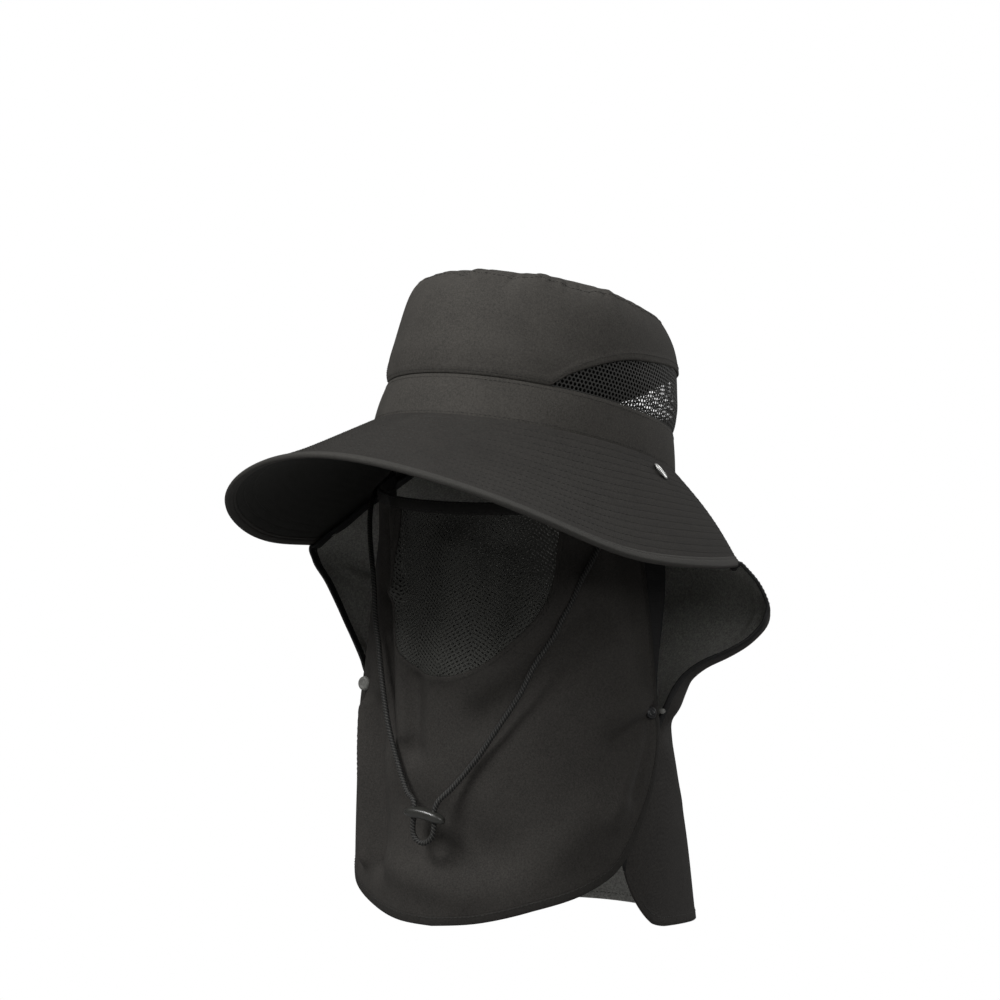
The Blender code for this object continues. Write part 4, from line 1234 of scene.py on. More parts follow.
@dataclass(frozen=True)
class HardFinish(Finish):
    """Metal or moulded plastic with fine handling marks.

    Attributes:
        metallic: 1 for metal, 0 for plastic.
        coat: Weight of a clear gloss.
        marks: Strength of the fine marks.
    """

    metallic: float = 0.0
    coat: float = 0.0
    marks: float = 0.15

    def make(self, patterns: Patterns) -> Material:
        """Vary roughness and colour by noise and bump the fine marks."""
        material, nodes, shader = self.start()
        places = nodes.add("TexCoord").outputs["Object"]
        grain = nodes.noise(places, 380.0, 4.0)
        nodes.wire(shader, {
            "Roughness": nodes.fit(grain, 0.3, 0.7, self.roughness * 0.75,
                                   min(1.0, self.roughness * 1.35)),
            "Base Color": nodes.blend(nodes.fit(grain, 0.3, 0.7), rgba(self.colour, 0.85),
                                      rgba(self.colour, 1.12)),
            "Normal": nodes.bump(nodes.noise(places, 1600.0, 2.0), self.marks, 0.00008),
            "Metallic": self.metallic, "Coat Weight": self.coat})
        return material


def make_finishes() -> dict[str, Material]:
    """Make every finish of the hat once, by the name that the pieces ask for."""
    warm = (0.058, 0.0542, 0.0485)
    choices = {
        "crown": ClothFinish("crown_charcoal", warm, 0.86, inner=(0.03, 0.029, 0.027),
                             fine=0.95),
        # The brim is the crown's cloth set darker: painted shade for the dimmer light on its sloped
        # top
        "brim": ClothFinish("brim_charcoal_painted_shade", (0.031, 0.0288, 0.026), 0.88,
                            inner=(0.033, 0.033, 0.03), fine=1.1),
        # The cape's brushed inner face is set far paler than its outer one: partly its own lining,
        # partly painted light on the cape's inside
        "cape": ClothFinish("cape_charcoal_painted_inner_light", (0.04, 0.037, 0.034), 0.88,
                            inner=(0.245, 0.243, 0.228), fine=1.1, fuzz=0.6),
        "veil": ClothFinish("veil_charcoal", (0.045, 0.0418, 0.038), 0.84,
                            inner=(0.045, 0.044, 0.041), fine=0.8),
        # Top binding of the veil: partly a darker binding cloth, partly painted shade that falls
        # under the brim
        "hem": ClothFinish("veil_binding_painted_shade", (0.021, 0.02, 0.0185), 0.84,
                           inner=(0.021, 0.02, 0.0185), fine=0.7),
        "turned": ClothFinish("veil_turned_cloth", (0.031, 0.029, 0.0265), 0.84,
                              inner=(0.045, 0.044, 0.041), fine=0.8),
        "tape": TapeFinish("black_tape", (0.012, 0.012, 0.012), 0.7),
        "edge": TapeFinish("charcoal_edge_tape", (0.046, 0.044, 0.04), 0.8),
        "thread": TapeFinish("sewing_thread", (0.036, 0.035, 0.032), 0.6, ribs=3000.0),
        "vent_net": ClothFinish("vent_net", (0.062, 0.061, 0.058), 0.7, fine=0.3, relief=0.2),
        "veil_net": ClothFinish("veil_net", (0.066, 0.066, 0.06), 0.7, fine=0.4, relief=0.2),
        "eyelet": HardFinish("nickel", (0.86, 0.86, 0.84), 0.38, metallic=1.0),
        "pale_snap": HardFinish("grey_snap", (0.22, 0.22, 0.205), 0.45),
        "dark_snap": HardFinish("dark_snap", (0.02, 0.02, 0.021), 0.35),
        "lock": HardFinish("gloss_lock", (0.034, 0.034, 0.03), 0.36, coat=0.35),
        # The cord's pale strand crests are painted highlights
        "cord": CordFinish("braided_cord", (0.008, 0.008, 0.0075), 0.7),
    }
    patterns = Patterns()
    return {key: finish.make(patterns) for key, finish in choices.items()}


# Sub-assemblies


@dataclass
class Part:
    """A sub-assembly of the hat.

    Attributes:
        finishes: Materials by name.
    """

    finishes: dict[str, Material]

    def seat(self, parts: MeshParts, name: str, finish: str, slot: Slot, *nodes: str,
             doubles: float = 0.0, sharp: float = 50.0) -> Piece:
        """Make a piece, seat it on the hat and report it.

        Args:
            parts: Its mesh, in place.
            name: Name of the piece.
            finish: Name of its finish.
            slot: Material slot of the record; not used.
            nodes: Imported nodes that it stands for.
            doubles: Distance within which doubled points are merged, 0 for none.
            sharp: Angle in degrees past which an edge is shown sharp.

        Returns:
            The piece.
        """
        piece = parts.make(name, self.finishes[finish], sharp)
        if doubles:
            close_doubles(piece, doubles)
        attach(piece, ROOT)
        if nodes:
            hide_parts(*nodes)
        LOG.info("%s: %d faces, stands for %s", name, len(piece.data.polygons),
                 ", ".join(nodes) or "no node")
        return piece


@dataclass
class Crown(Part):
    """Bucket crown: wall with its vent arch, tip, sweat band, vent net and their seams.

    Attributes:
        hat: Form that it follows.
        columns: Steps round the head.
        band_cloth: Thickness of the band.
        net_cloth: Thickness of the vent net.
        gap: Gap left at each seam.
        net_pitch: Distance between the vent net's holes.
        net_hole: Radius of a hole.
        net_inset: How far the net lies behind the wall's middle.
        pucker: Height of the puckers at the tip seam.
        fullness: How far the shoulder over the right temple bulges.
        dents: Long dents at the seam: angle, width and height outward.
        lifts: Rises of the seam itself: angle, width and height upward.
    """

    hat: HatForm
    columns: int = 400
    band_cloth: float = 0.002
    net_cloth: float = 0.0003
    gap: float = 0.0005
    net_pitch: float = 0.0026
    net_hole: float = 0.00104
    net_inset: float = 0.0003
    pucker: float = 0.00075
    fullness: float = 0.0058
    dents: Rows = (
        (0.35, 0.1, -0.0022), (0.95, 0.12, 0.0012), (1.55, 0.16, -0.001), (5.7, 0.12, -0.0009),
        (3.6, 0.2, 0.001), (4.6, 0.15, -0.001))
    lifts: Rows = (
        (-0.09, 0.06, -0.0016), (0.03, 0.05, 0.001), (0.36, 0.1, -0.0015), (0.6, 0.1, 0.0014),
        (0.92, 0.12, -0.0024), (1.2, 0.12, 0.0012), (2.4, 0.2, -0.0015), (3.5, 0.25, 0.0012))

    def shaped(self, angle: Array, row: Array) -> Array:
        """Crown point with its sewing: puckers and a rolled step at the tip seam.

        The pucker is cos(58 a) + 0.6 cos(97 a + 1) dying out as exp(-(rows from the
        seam / 0.9) squared). Dents and lifts are Gaussians of the angle, and the shoulder
        over the right temple is fuller.
        """
        off = row - self.hat.tip_seam

        def near(above: float, below: float) -> Array:
            """Nearness to the tip seam, by how many rows it spreads to each side."""
            return np.exp(-((off / np.where(off > 0.0, above, below)) ** 2))

        patch = 0.55 + 0.45 * np.cos(angle - 0.9)
        sewn = self.pucker * patch * (np.cos(58.0 * angle) + 0.6 * np.cos(97.0 * angle + 1.0))
        roll = 0.0006 * np.exp(-(((off + 0.35) / 0.22) ** 2))
        dent = sum(height * np.exp(-(((angle - middle) / wide) ** 2))
                   for middle, wide, height in self.dents)
        broad = np.exp(-((off / 2.2) ** 2)) * dent
        slack = 0.0006 * np.sin(np.pi * np.clip(row / 8.0, 0.0, 1.0)) * np.cos(5.0 * angle + 0.7)
        lift = sum(height * np.exp(-((np.sin(0.5 * (angle - middle)) * 2.0 / wide) ** 2))
                   for middle, wide, height in self.lifts)
        lift = lift + 0.6 * self.pucker * patch * np.cos(41.0 * angle + 0.6)
        lift = lift * near(0.7, 1.5)
        full = self.fullness * swell(angle, -52.0, 0.62) * near(1.0, 2.8)
        out = near(0.6, 0.9) * sewn + roll + broad + slack + full
        return self.hat.crown(angle, row, out) + self.hat.lean(0.0, 0.0, lift)

    def foot(self, angle: Array) -> Array:
        """Profile row of the wall's lower edge, over the band or along the vent arch."""
        rise = self.hat.vent_rise(angle)
        return self.hat.crown_row(self.hat.band_height + 2.0 * self.gap + rise)

    def wall(self) -> Piece:
        """Side of the crown, with a turned double edge along the vent arch."""
        angle = around(self.columns)[None, :]
        start = self.foot(angle)
        share = steps(52)
        row = start + (self.hat.tip_seam - start) * share
        grid = self.shaped(angle, row)
        depth = np.linalg.norm(grid - grid[:1], axis=-1)
        turned = smooth((0.005 - depth) / 0.0006)
        half = 0.5 * self.hat.crown_cloth + 0.00022 * turned
        wall = ClothWall(self.hat.crown_cloth, wrap=True, inside=(0.0, 0.01, 0.03))
        parts = wall.build(grid, half)
        return self.seat(parts, "crown_wall_cloth", "crown", Slot.CROWN, "crown_wall")

    def tip(self) -> Piece:
        """Top of the crown, its rows drawn together to one middle point."""
        angle = around(self.columns)[None, :]
        first = self.hat.tip_seam + 0.04
        row = first + (12.0 - first) * steps(30) ** 1.1
        grid = self.shaped(angle, row)
        sag = 0.001 * smooth((row - first) / 2.0) * np.cos(3.0 * angle + 0.4)
        grid = grid - stack(0.0, 0.0, sag) * (1.0 - row[..., None] / 12.5)
        grid[-1] = grid[-1].mean(axis=0)
        grid[-2] = 0.5 * grid[-2] + 0.5 * grid[-2].mean(axis=0)
        normals = grid_normals(grid, True)
        normals[-1] = unit(normals[-3].mean(axis=0))
        if normals[-1][0][2] < 0.0:
            grid = grid[:, ::-1]
            normals = -normals[:, ::-1]
        parts = self._capped(grid, normals)
        return self.seat(parts, "crown_tip_cloth", "crown", Slot.CROWN, "crown_tip", doubles=1e-6)

    def _capped(self, grid: Array, normals: Array) -> MeshParts:
        """Wall round a grid whose last row is one point.

        Args:
            grid: Points, the last row all at the pole.
            normals: Their outward normals.

        Returns:
            Outer face, inner face and the rim between them at the first row.
        """
        half = 0.5 * self.hat.crown_cloth
        rows, columns = grid.shape[:2]
        vertices = np.concatenate([(grid + half * normals).reshape(-1, 3),
                                   (grid - half * normals).reshape(-1, 3)])
        outer = grid_quads(rows, columns)
        under = rows * columns
        c = np.arange(columns)
        c_next = (c + 1) % columns
        rim = stack(c, under + c, under + c_next, c_next)
        flat = np.concatenate([grid[..., :2].reshape(-1, 2)] * 2)
        faces = [outer, outer[:, ::-1] + under, rim]
        parts = MeshParts(vertices, faces, [flat[block] for block in faces])
        parts.marks["inner"] = np.repeat([0.0, 1.0], under)
        return parts

    def on_band(self, angle: Array, share: Array | float, out: Array | float = 0.0) -> Array:
        """Point of the band at a share of its height, moved outward by out."""
        x, v = self.hat.ring(angle, 1.0 + (self.hat.band_top - 1.0) * share, out)
        return self.hat.lean(x, v, self.hat.band_height * share)

    def band(self) -> Piece:
        """Sweat band strip, slightly bowed between its two seams."""
        angle = around(self.columns)[None, :]
        share = np.linspace(-0.035, 1.0, 14)[:, None]
        bow = 0.0005 * np.sin(np.pi * np.clip(share, 0.0, 1.0)) * (1.0 + 0.5 * np.cos(7.0 * angle))
        grid = self.on_band(angle, share, bow - 0.5 * self.band_cloth)
        parts = ClothWall(self.band_cloth, wrap=True, inside=(0.0, 0.0, 0.01)).build(grid)
        return self.seat(parts, "crown_band_cloth", "crown", Slot.CROWN, "crown_band")

    def vent(self) -> Piece:
        """Hexagon net behind the arch, its cells running a little under the cloth.

        A cell's middle is at (i + half a step in every other row) pitches along the
        crown and 0.866 pitches up for each row.
        """
        pitch = self.net_pitch
        corner = np.radians(60.0 * np.arange(6) + 30.0)
        hexagon = stack(np.cos(corner), np.sin(corner))
        cell = hexagon * pitch / math.sqrt(3.0)
        fine = np.linspace(0.0, 2.0 * np.pi, 1441)
        x, v = self.hat.ring(fine, 0.955)
        length = arc_lengths(stack(x, v, 0.0))
        across, up = np.meshgrid(np.arange(int(length[-1] / pitch)) * pitch,
                                 np.arange(-2, 20) * pitch * math.sqrt(0.75))
        across = across + 0.5 * pitch * (np.arange(len(up)) % 2)[:, None]
        angle = np.interp(across, length, fine)
        turned = np.degrees(np.abs(np.arctan2(np.sin(angle), np.cos(angle))))
        kept = (turned > self.hat.vent_start + 0.5) & (up > -0.003)
        kept &= up < self.hat.vent_rise(angle) + 0.003
        middles = stack(across[kept], up[kept])

        def place(along: Array, height: Array) -> Pair:
            """Points and normals of the net's surface."""
            at = np.interp(along, length, fine)
            row = self.hat.crown_row(self.hat.band_height + np.maximum(height, 0.0))
            points = self.hat.crown(at, row, -self.net_inset)
            points = points + self.hat.lean(0.0, 0.0, np.minimum(height, 0.0))
            step_a = self.hat.crown(at + 1e-3, row) - self.hat.crown(at - 1e-3, row)
            step_r = self.hat.crown(at, row + 0.02) - self.hat.crown(at, row)
            return points, unit(np.cross(step_a, step_r))

        parts = NetCells(self.net_cloth, cell, hexagon * self.net_hole).build(middles, place)
        return self.seat(parts, "vent_hexagon_net", "vent_net", Slot.NET, "vent_mesh", doubles=1e-7)

    def stitches(self) -> Piece:
        """Thread along the vent arch, over the band's two seams and under the tip seam."""
        angle = around(self.columns)
        thread = Thread()
        runs = []
        face = 0.5 * self.hat.crown_cloth
        for rows, lift in ((self.foot(angle) + 0.3, face + 0.0002),
                           (np.full_like(angle, self.hat.tip_seam - 0.55), face)):
            line = self.shaped(angle, rows)
            normals = unit(np.cross(self.shaped(angle + 1e-3, rows) - line,
                                    self.shaped(angle, rows + 0.02) - line))
            runs.append(thread.run(line, normals, lift, closed=True))
        for share in (0.07, 0.93):
            line = self.on_band(angle, share)
            normals = unit(self.on_band(angle, share, 1.0) - line)
            runs.append(thread.run(line, normals, 0.0001, closed=True))
        return self.seat(MeshParts.joined(runs), "crown_stitches", "thread", Slot.CROWN)

    def build(self) -> None:
        """Make every piece of the crown."""
        self.wall()
        self.tip()
        self.band()
        self.vent()
        self.stitches()


@dataclass
class Brim(Part):
    """Wide brim sewn in close rounds, its bound edge and its eyelets.

    Attributes:
        hat: Form that it follows.
        cloth: Thickness.
        columns: Steps round the head.
        rows: Steps from seam to edge.
        rounds: Rounds of sewing.
        puff: How far the cloth rises between two rounds.
        binding_width: Width of the bound edge.
        binding_cloth: Thickness of the bound edge.
        gap: Gap between the binding and the last round.
        overlap: How far the cloth runs into the binding.
        hump: How far the cloth rises over the wearer's right front.
        eyelet_out: Distance of an eyelet from the seam.
        eyelet_radius: Outer radius of an eyelet.
        eyelet_hole: Radius of its hole.
        eyelet_tip: Lean of the ring to the rear, where the cloth pulls it.
    """

    hat: HatForm
    cloth: float = 0.0024
    columns: int = 400
    rows: int = 84
    rounds: int = 16
    puff: float = 0.00011
    binding_width: float = 0.006
    binding_cloth: float = 0.0034
    gap: float = 0.0003
    overlap: float = 0.0008
    hump: float = 0.0052
    eyelet_out: float = 0.0112
    eyelet_radius: float = 0.0056
    eyelet_hole: float = 0.0026
    eyelet_tip: float = 0.22

    def slack(self, angle: Array, share: Array) -> Array:
        """Lift of the cloth: a wave of 0.5 mm at the edge, and a hump sin(pi * share)."""
        hump = self.hump * swell(angle, -46.0, 0.55) * np.sin(np.pi * share)
        return 0.0005 * share * np.cos(9.0 * angle + 0.5) + hump

    def at(self, angle: Array, share: Array) -> Array:
        """Point on the middle of the brim's cloth, with its slack."""
        return self.hat.brim(angle, share, self.slack(angle, share))

    def normal(self, angle: Array, share: Array) -> Array:
        """Normal of the brim's upper face."""
        step = 1e-4
        along = self.hat.brim(angle + step, share) - self.hat.brim(angle - step, share)
        across = self.hat.brim(angle, share + step) - self.hat.brim(angle, share - step)
        normal = unit(np.cross(along, across))
        return np.where(normal[..., 2:] > 0.0, normal, -normal)

    def cloth_wall(self) -> Piece:
        """Brim cloth; between two rounds each face rises as puff * |sin(pi * round)|."""
        angle = around(self.columns)[None, :]
        edge = 1.0 - (self.binding_width - self.overlap) / self.hat.brim_length(angle)
        share = edge * steps(self.rows)
        grid = self.at(angle, share)
        half = 0.5 * self.cloth + self.puff * (np.abs(np.sin(np.pi * share * self.rounds)) - 0.6)
        wall = ClothWall(self.cloth, wrap=True, inside=(0.0, 0.0, -1.0))
        return self.seat(wall.build(grid, half), "brim_cloth_sewn", "brim", Slot.BRIM, "brim")

    def binding(self) -> Piece:
        """Tape folded over the edge, thickest at its middle and round outside."""
        angle = around(self.columns)[None, :]
        length = self.hat.brim_length(angle)
        start = 1.0 - self.binding_width / length
        stop = 1.0 - 0.0008 / length
        step = steps(12)
        share = start + (stop - start) * step
        grid = self.at(angle, share)
        half = 0.5 * self.binding_cloth * (0.86 + 0.14 * np.sin(np.pi * step))
        half = half - 0.00035 * np.exp(-(((step - 0.24) / 0.07) ** 2))
        wall = ClothWall(self.binding_cloth, wrap=True, inside=(0.0, 0.0, -1.0), rim_steps=4)
        return self.seat(wall.build(grid, half), "brim_edge_tape", "edge",
                         Slot.BINDING, "brim_binding")

    def stitches(self) -> Piece:
        """Rounds of thread on the upper face, the outer ones below, and the binding's."""
        angle = around(self.columns)
        thread = Thread(pitch=0.003, radius=0.00015)
        runs = []
        face = 0.5 * self.cloth - 0.6 * self.puff
        edge = 1.0 - (self.binding_width + self.gap) / self.hat.brim_length(angle)
        for number in range(1, self.rounds):
            share = np.full_like(angle, number / self.rounds)
            if np.any(share > edge - 0.01):
                continue
            line = self.at(angle, share)
            normals = self.normal(angle, share)
            runs.append(thread.run(line, normals, face, closed=True))
            if number >= self.rounds - 3:
                runs.append(thread.run(line, -normals, face, closed=True))
        share = 1.0 - 0.0046 / self.hat.brim_length(angle)
        line = self.at(angle, share)
        for side in (1.0, -1.0):
            normals = side * self.normal(angle, share)
            runs.append(thread.run(line, normals, 0.46 * self.binding_cloth - 0.0003, closed=True))
        return self.seat(MeshParts.joined(runs), "brim_stitches", "thread", Slot.BRIM)

    def eyelet(self, name: str, degrees: float) -> Piece:
        """Rolled metal ring with a dark throat, lying on the brim's upper face."""
        angle = np.radians(degrees)
        share = self.eyelet_out / self.hat.brim_length(angle)
        normal = self.normal(angle, share)
        centre = self.at(angle, share)
        centre = centre + normal * 0.66 * self.cloth
        normal = unit(normal + np.array([0.0, self.eyelet_tip, 0.0]))
        outer = self.eyelet_radius
        hole = self.eyelet_hole
        outline = [(hole, -0.0004), (outer * 0.97, -0.0002), (outer, 0.0002),
                   (outer * 0.96, 0.0006), (outer * 0.84, 0.001), (outer * 0.7, 0.00115),
                   (outer * 0.58, 0.001), (hole * 1.04, 0.0006), (hole, 0.0001)]
        return self.seat(lathe(outline, centre, normal, 56), name + "_ring", "eyelet",
                         Slot.EYELET, name, doubles=1e-6)

    def build(self) -> None:
        """Make every piece of the brim."""
        self.cloth_wall()
        self.binding()
        self.stitches()
        self.eyelet("eyelet_left", 90.0)
        self.eyelet("eyelet_right", -90.0)


@dataclass
class Cape(Part):
    """Neck cape with its two front tapes and its turned hem.

    Attributes:
        form: Shape of the hanging cloth.
        columns: Steps from edge to edge.
        rows: Steps from seam to hem.
        tape_width: Width of the front tapes.
        tape_cloth: Thickness of a tape.
        hem: Height of the hem's stitch line.
        overlap: How far the cloth runs into a tape.
    """

    form: CapeForm
    columns: int = 206
    rows: int = 132
    tape_width: float = 0.005
    tape_cloth: float = 0.002
    hem: float = 0.0046
    overlap: float = 0.0012

    def drops(self) -> Array:
        """Rows from the seam to the hem, closer at the hem's corners."""
        share = np.linspace(0.0, 1.0, self.rows)
        return share + 0.02 * np.sin(2.0 * np.pi * share)

    def cloth(self) -> Piece:
        """The cape's cloth between the tapes, a little thicker over the hem."""
        share = np.linspace(-1.0, 1.0, self.columns)
        turns = (0.72 * share + 0.28 * np.sin(0.5 * np.pi * share))[None, :]
        drop = self.drops()
        inner = 1.0 - self.form.edge_share(drop, self.tape_width - self.overlap)
        grid = self.form.at(turns * inner[:, None], drop[:, None])
        depth = np.linalg.norm(np.diff(grid, axis=0), axis=-1)[::-1].cumsum(axis=0)[::-1]
        depth = np.concatenate([depth, np.zeros((1, self.columns))])
        half = 0.5 * self.form.cloth + 0.00028 * smooth((self.hem + 0.0008 - depth) / 0.0008)
        wall = ClothWall(self.form.cloth, inside=(0.0, 0.0, -0.13))
        return self.seat(wall.build(grid, half), "neck_cape_cloth", "cape", Slot.CAPE, "neck_cape")

    def tape(self, name: str, side: float) -> Piece:
        """Tape folded round a front edge; half thickness 0.8 + 0.2 sin across it."""
        drop = np.linspace(0.0, 1.0, 320)
        strip = self.form.edge_share(drop, self.tape_width)
        share = steps(9)
        turns = side * (1.0 - strip[None, :] * (1.0 - share) - 0.0006 / 0.19 * share)
        grid = self.form.at(turns, drop[None, :])
        half = 0.5 * self.tape_cloth * (0.8 + 0.2 * np.sin(np.pi * share))
        half = half - 0.00025 * np.exp(-(((share - 0.22) / 0.08) ** 2))
        wall = ClothWall(self.tape_cloth, inside=(0.0, 0.0, -0.13), rim_steps=3)
        return self.seat(wall.build(grid, half), name + "_folded", "tape", Slot.BINDING, name)

    def stitches(self) -> Piece:
        """Hem thread on both faces and the thread of both tapes."""
        thread = Thread()
        runs = []
        share = np.linspace(-0.955, 0.955, 500)
        full = self.form.at(share, np.ones_like(share))
        near = self.form.at(share, np.full_like(share, 0.99))
        drop = 1.0 - 0.01 * self.hem / np.linalg.norm(full - near, axis=-1)
        line = self.form.at(share, drop)
        normals = self._normals(share, drop)
        face = 0.5 * self.form.cloth + 0.0002
        runs.append(thread.run(line, normals, face))
        runs.append(thread.run(line, -normals, face))
        drop = np.linspace(0.05, 0.995, 500)
        strip = self.form.edge_share(drop, self.tape_width * 0.78)
        for side in (1.0, -1.0):
            turns = side * (1.0 - strip)
            line = self.form.at(turns, drop)
            normals = self._normals(turns, drop)
            for face_side in (1.0, -1.0):
                runs.append(thread.run(line, face_side * normals, 0.42 * self.tape_cloth))
        return self.seat(MeshParts.joined(runs), "cape_stitches", "thread", Slot.CAPE)

    def _normals(self, turn: Array, drop: Array) -> Array:
        """Normals of the cape, the same way round everywhere."""
        step = 2e-3
        along = self.form.at(turn + step, drop) - self.form.at(turn - step, drop)
        down = self.form.at(turn, np.minimum(drop + step, 1.0)) - self.form.at(turn, drop - step)
        return unit(np.cross(along, down))

    def build(self) -> None:
        """Make the cape's cloth, its two tapes and its stitches."""
        cloth = self.cloth()
        tapes = [self.tape("cape_tape_left", 1.0),
                 self.tape("cape_tape_right", -1.0)]
        tapes.append(self.stitches())


@dataclass
class Veil(Part):
    """Face veil: cloth round the net, turned edges, a bound top and the chevron net.

    Attributes:
        form: Shape of the hanging cloth.
        edge_cloth: Thickness of the turned edges.
        net_cloth: Thickness of the net.
        overlap: How far the cloth runs into the turned edge.
        net_step: Distance of the net's holes across and up.
        hole: Half length and half height of a hole.
        shear: How far a column of holes leans for each metre up.
        chevron: Width of one slanted stripe of the net.
        slant: Rise of the stripe for each metre across.
    """

    form: VeilForm
    edge_cloth: float = 0.0018
    net_cloth: float = 0.0007
    overlap: float = 0.0008
    net_step: tuple[float, float] = (0.00185, 0.00235)
    hole: tuple[float, float] = (0.00074, 0.0005)
    shear: float = 0.4
    chevron: float = 0.0155
    slant: float = 0.7

    def columns(self, count: int) -> Pair:
        """Places along the course and sides, from the left temple round to the right."""
        along = np.linspace(0.0, 1.0, count)
        return (np.concatenate([along, along[::-1][1:]]),
                np.concatenate([np.ones(count), -np.ones(count - 1)]))

    def cloth(self) -> Piece:
        """Cloth from the turned edge to the net's seam, doubled along both."""
        along, side = self.columns(180)
        hem = self.form.hem
        part = steps(62)

        def depths(width: Array) -> Array:
            """Shares of the width, past the turned edge and up to the net."""
            return (hem - self.overlap) / width + (1.0 - (hem - self.overlap) / width) * part

        turn, z = self.form.between(along, side, depths)
        grid = self.form.at(turn, z)
        seam = np.linalg.norm(grid - grid[-1:], axis=-1)
        half = 0.5 * self.form.cloth + 0.0003 * smooth((0.004 - seam) / 0.0008)
        wall = ClothWall(self.form.cloth, inside=(0.0, 0.0, -0.13))
        return self.seat(wall.build(grid, half), "face_veil_cloth", "veil", Slot.VEIL, "face_veil")

    def edges(self) -> Piece:
        """Turned edge down both sides and along the hem."""
        along, side = self.columns(200)
        part = steps(9)
        lip = 0.0005
        turn, z = self.form.between(
            along, side, lambda width: (lip + (self.form.hem - lip) * part) / width)
        grid = self.form.at(turn, z)
        half = 0.5 * self.edge_cloth * (0.84 + 0.16 * np.sin(np.pi * part))
        wall = ClothWall(self.edge_cloth, inside=(0.0, 0.0, -0.13), rim_steps=3)
        return self.seat(wall.build(grid, half), "veil_turned_edge", "turned",
                         Slot.VEIL, "veil_edge_binding")

    def top(self) -> Piece:
        """Bound top edge, a folded strip that bows out a little between its seams."""
        turn = np.linspace(-90.0, 90.0, 260)[None, :]
        part = np.linspace(0.04, 1.0, 12)[:, None]
        z = self.form.top(turn) - self.form.top_band * part
        grid = self.form.at(turn, z, 0.0003 * np.sin(np.pi * part))
        half = 0.5 * self.edge_cloth * (0.8 + 0.2 * np.sin(np.pi * part))
        wall = ClothWall(self.edge_cloth, inside=(0.0, 0.0, -0.05), rim_steps=3)
        # Its finish is darker than the veil: partly darker binding cloth, partly painted shade from
        # under the brim
        return self.seat(wall.build(grid, half), "veil_top_band", "hem",
                         Slot.VEIL, "veil_top_binding")

    def net(self) -> Piece:
        """Knitted net: slanted slots whose rows zigzag as a triangle wave across.

        A slot at (a, b) on the flat net lies at height b + slant * |a mod 2w - w|,
        with w the width of a stripe, and tilts with its stripe.
        """
        step_a, step_b = self.net_step
        sides = np.array([(1, 0), (1, 1), (-1, 1), (-1, 0), (-1, -1), (1, -1)], dtype=float)
        lens = np.array([(1, 0), (0.5, 1), (-0.5, 1), (-1, 0), (-0.5, -1), (0.5, -1)], dtype=float)
        cell = sides * (0.5 * step_a, 0.5 * step_b)
        cell[:, 0] += self.shear * cell[:, 1]
        hole = lens * self.hole
        a, b = np.meshgrid(np.arange(-62, 63) * step_a, np.arange(-4, 58) * -step_b)
        middles = stack((a + self.shear * b).ravel(), b.ravel())
        places = self._place(middles[:, 0], middles[:, 1])
        middles = middles[self._inside(*places)]

        def surface(across: Array, up: Array) -> Pair:
            """Points and normals of the net, a little behind the cloth."""
            turn, z = self._place(across, up)
            normal = self.form.normal(turn, z)
            return self.form.at(turn, z) - 0.0006 * normal, normal

        parts = NetCells(self.net_cloth, cell, hole).build(middles, surface)
        return self.seat(parts, "veil_chevron_net", "veil_net", Slot.NET, "veil_mesh", doubles=1e-7)

    def _place(self, across: Array, up: Array) -> Pair:
        """Angle and height of a flat place of the net."""
        width = self.chevron
        saw = np.abs(np.mod(across + 0.0012, 2.0 * width) - width)
        return np.degrees(across / 0.078), up - self.slant * (saw - 0.5 * width)

    def _inside(self, turn: Array, z: Array) -> Array:
        """Whether places lie within the net's outline grown by its seam allowance."""
        along = np.linspace(0.0, 1.0, 200)
        left, level = self.form.course(self.form.net, along, np.ones(200))
        right, _ = self.form.course(self.form.net, along, -np.ones(200))
        at = np.clip(z, level[-1] - 1.0, level[0])
        allowance = np.degrees(0.003 / 0.078)
        high = np.interp(at, level[::-1], left[::-1])
        low = np.interp(at, level[::-1], right[::-1])
        inside = (turn < high + allowance) & (turn > low - allowance)
        return inside & (z > level[-1] - 0.002) & (z < self.form.top(turn) - 0.0035)

    def stitches(self) -> Piece:
        """Thread of the turned edges, round the net's seam and along the top."""
        thread = Thread()
        runs = []
        along, side = self.columns(300)
        turn, z = self.form.between(
            along, side, lambda width: (self.form.hem - 0.0004) / width)
        runs.append(self._run(thread, turn, z, 0.5 * self.edge_cloth * 0.86))
        turn, z = self.form.between(along, side, lambda width: 1.0 - 0.0022 / width)
        runs.append(self._run(thread, turn, z, 0.5 * self.form.cloth + 0.0003))
        turn = np.linspace(-88.0, 88.0, 400)
        for drop in (0.0008, self.form.top_band - 0.0008):
            runs.append(self._run(thread, turn, self.form.top(turn) - drop,
                                  0.5 * self.edge_cloth * 0.9))
        return self.seat(MeshParts.joined(runs), "veil_stitches", "thread", Slot.VEIL)

    def facing_and_shade(self, side: float) -> Piece:
        """Dark facing behind a side edge, black so that it also paints the shade behind the edge: a
        wedge that narrows from the top to the snap.
        """
        part = steps(10)
        z = np.linspace(-0.032, -0.134, 120)[None, :]
        wide = 1.5 + 8.5 * (1.0 - smooth((-0.05 - z) / 0.09))
        grid = self.form.at(side * (88.5 + wide * part), z, 0.01 * part * wide / 10.0 - 0.0017)
        wall = ClothWall(0.001, inside=(0.0, 0.0, -0.08))
        name = "veil_facing_and_shade_left" if side > 0.0 else "veil_facing_and_shade_right"
        # The black tape finish paints the shade that falls behind the veil's side edge
        return self.seat(wall.build(grid), name, "tape", Slot.VEIL)

    def _run(self, thread: Thread, turn: Array, z: Array, lift: float) -> MeshParts:
        """One line of thread on the veil's outer face."""
        turn = np.asarray(turn).reshape(-1)
        z = np.asarray(z).reshape(-1)
        return thread.run(self.form.at(turn, z), self.form.normal(turn, z), lift)

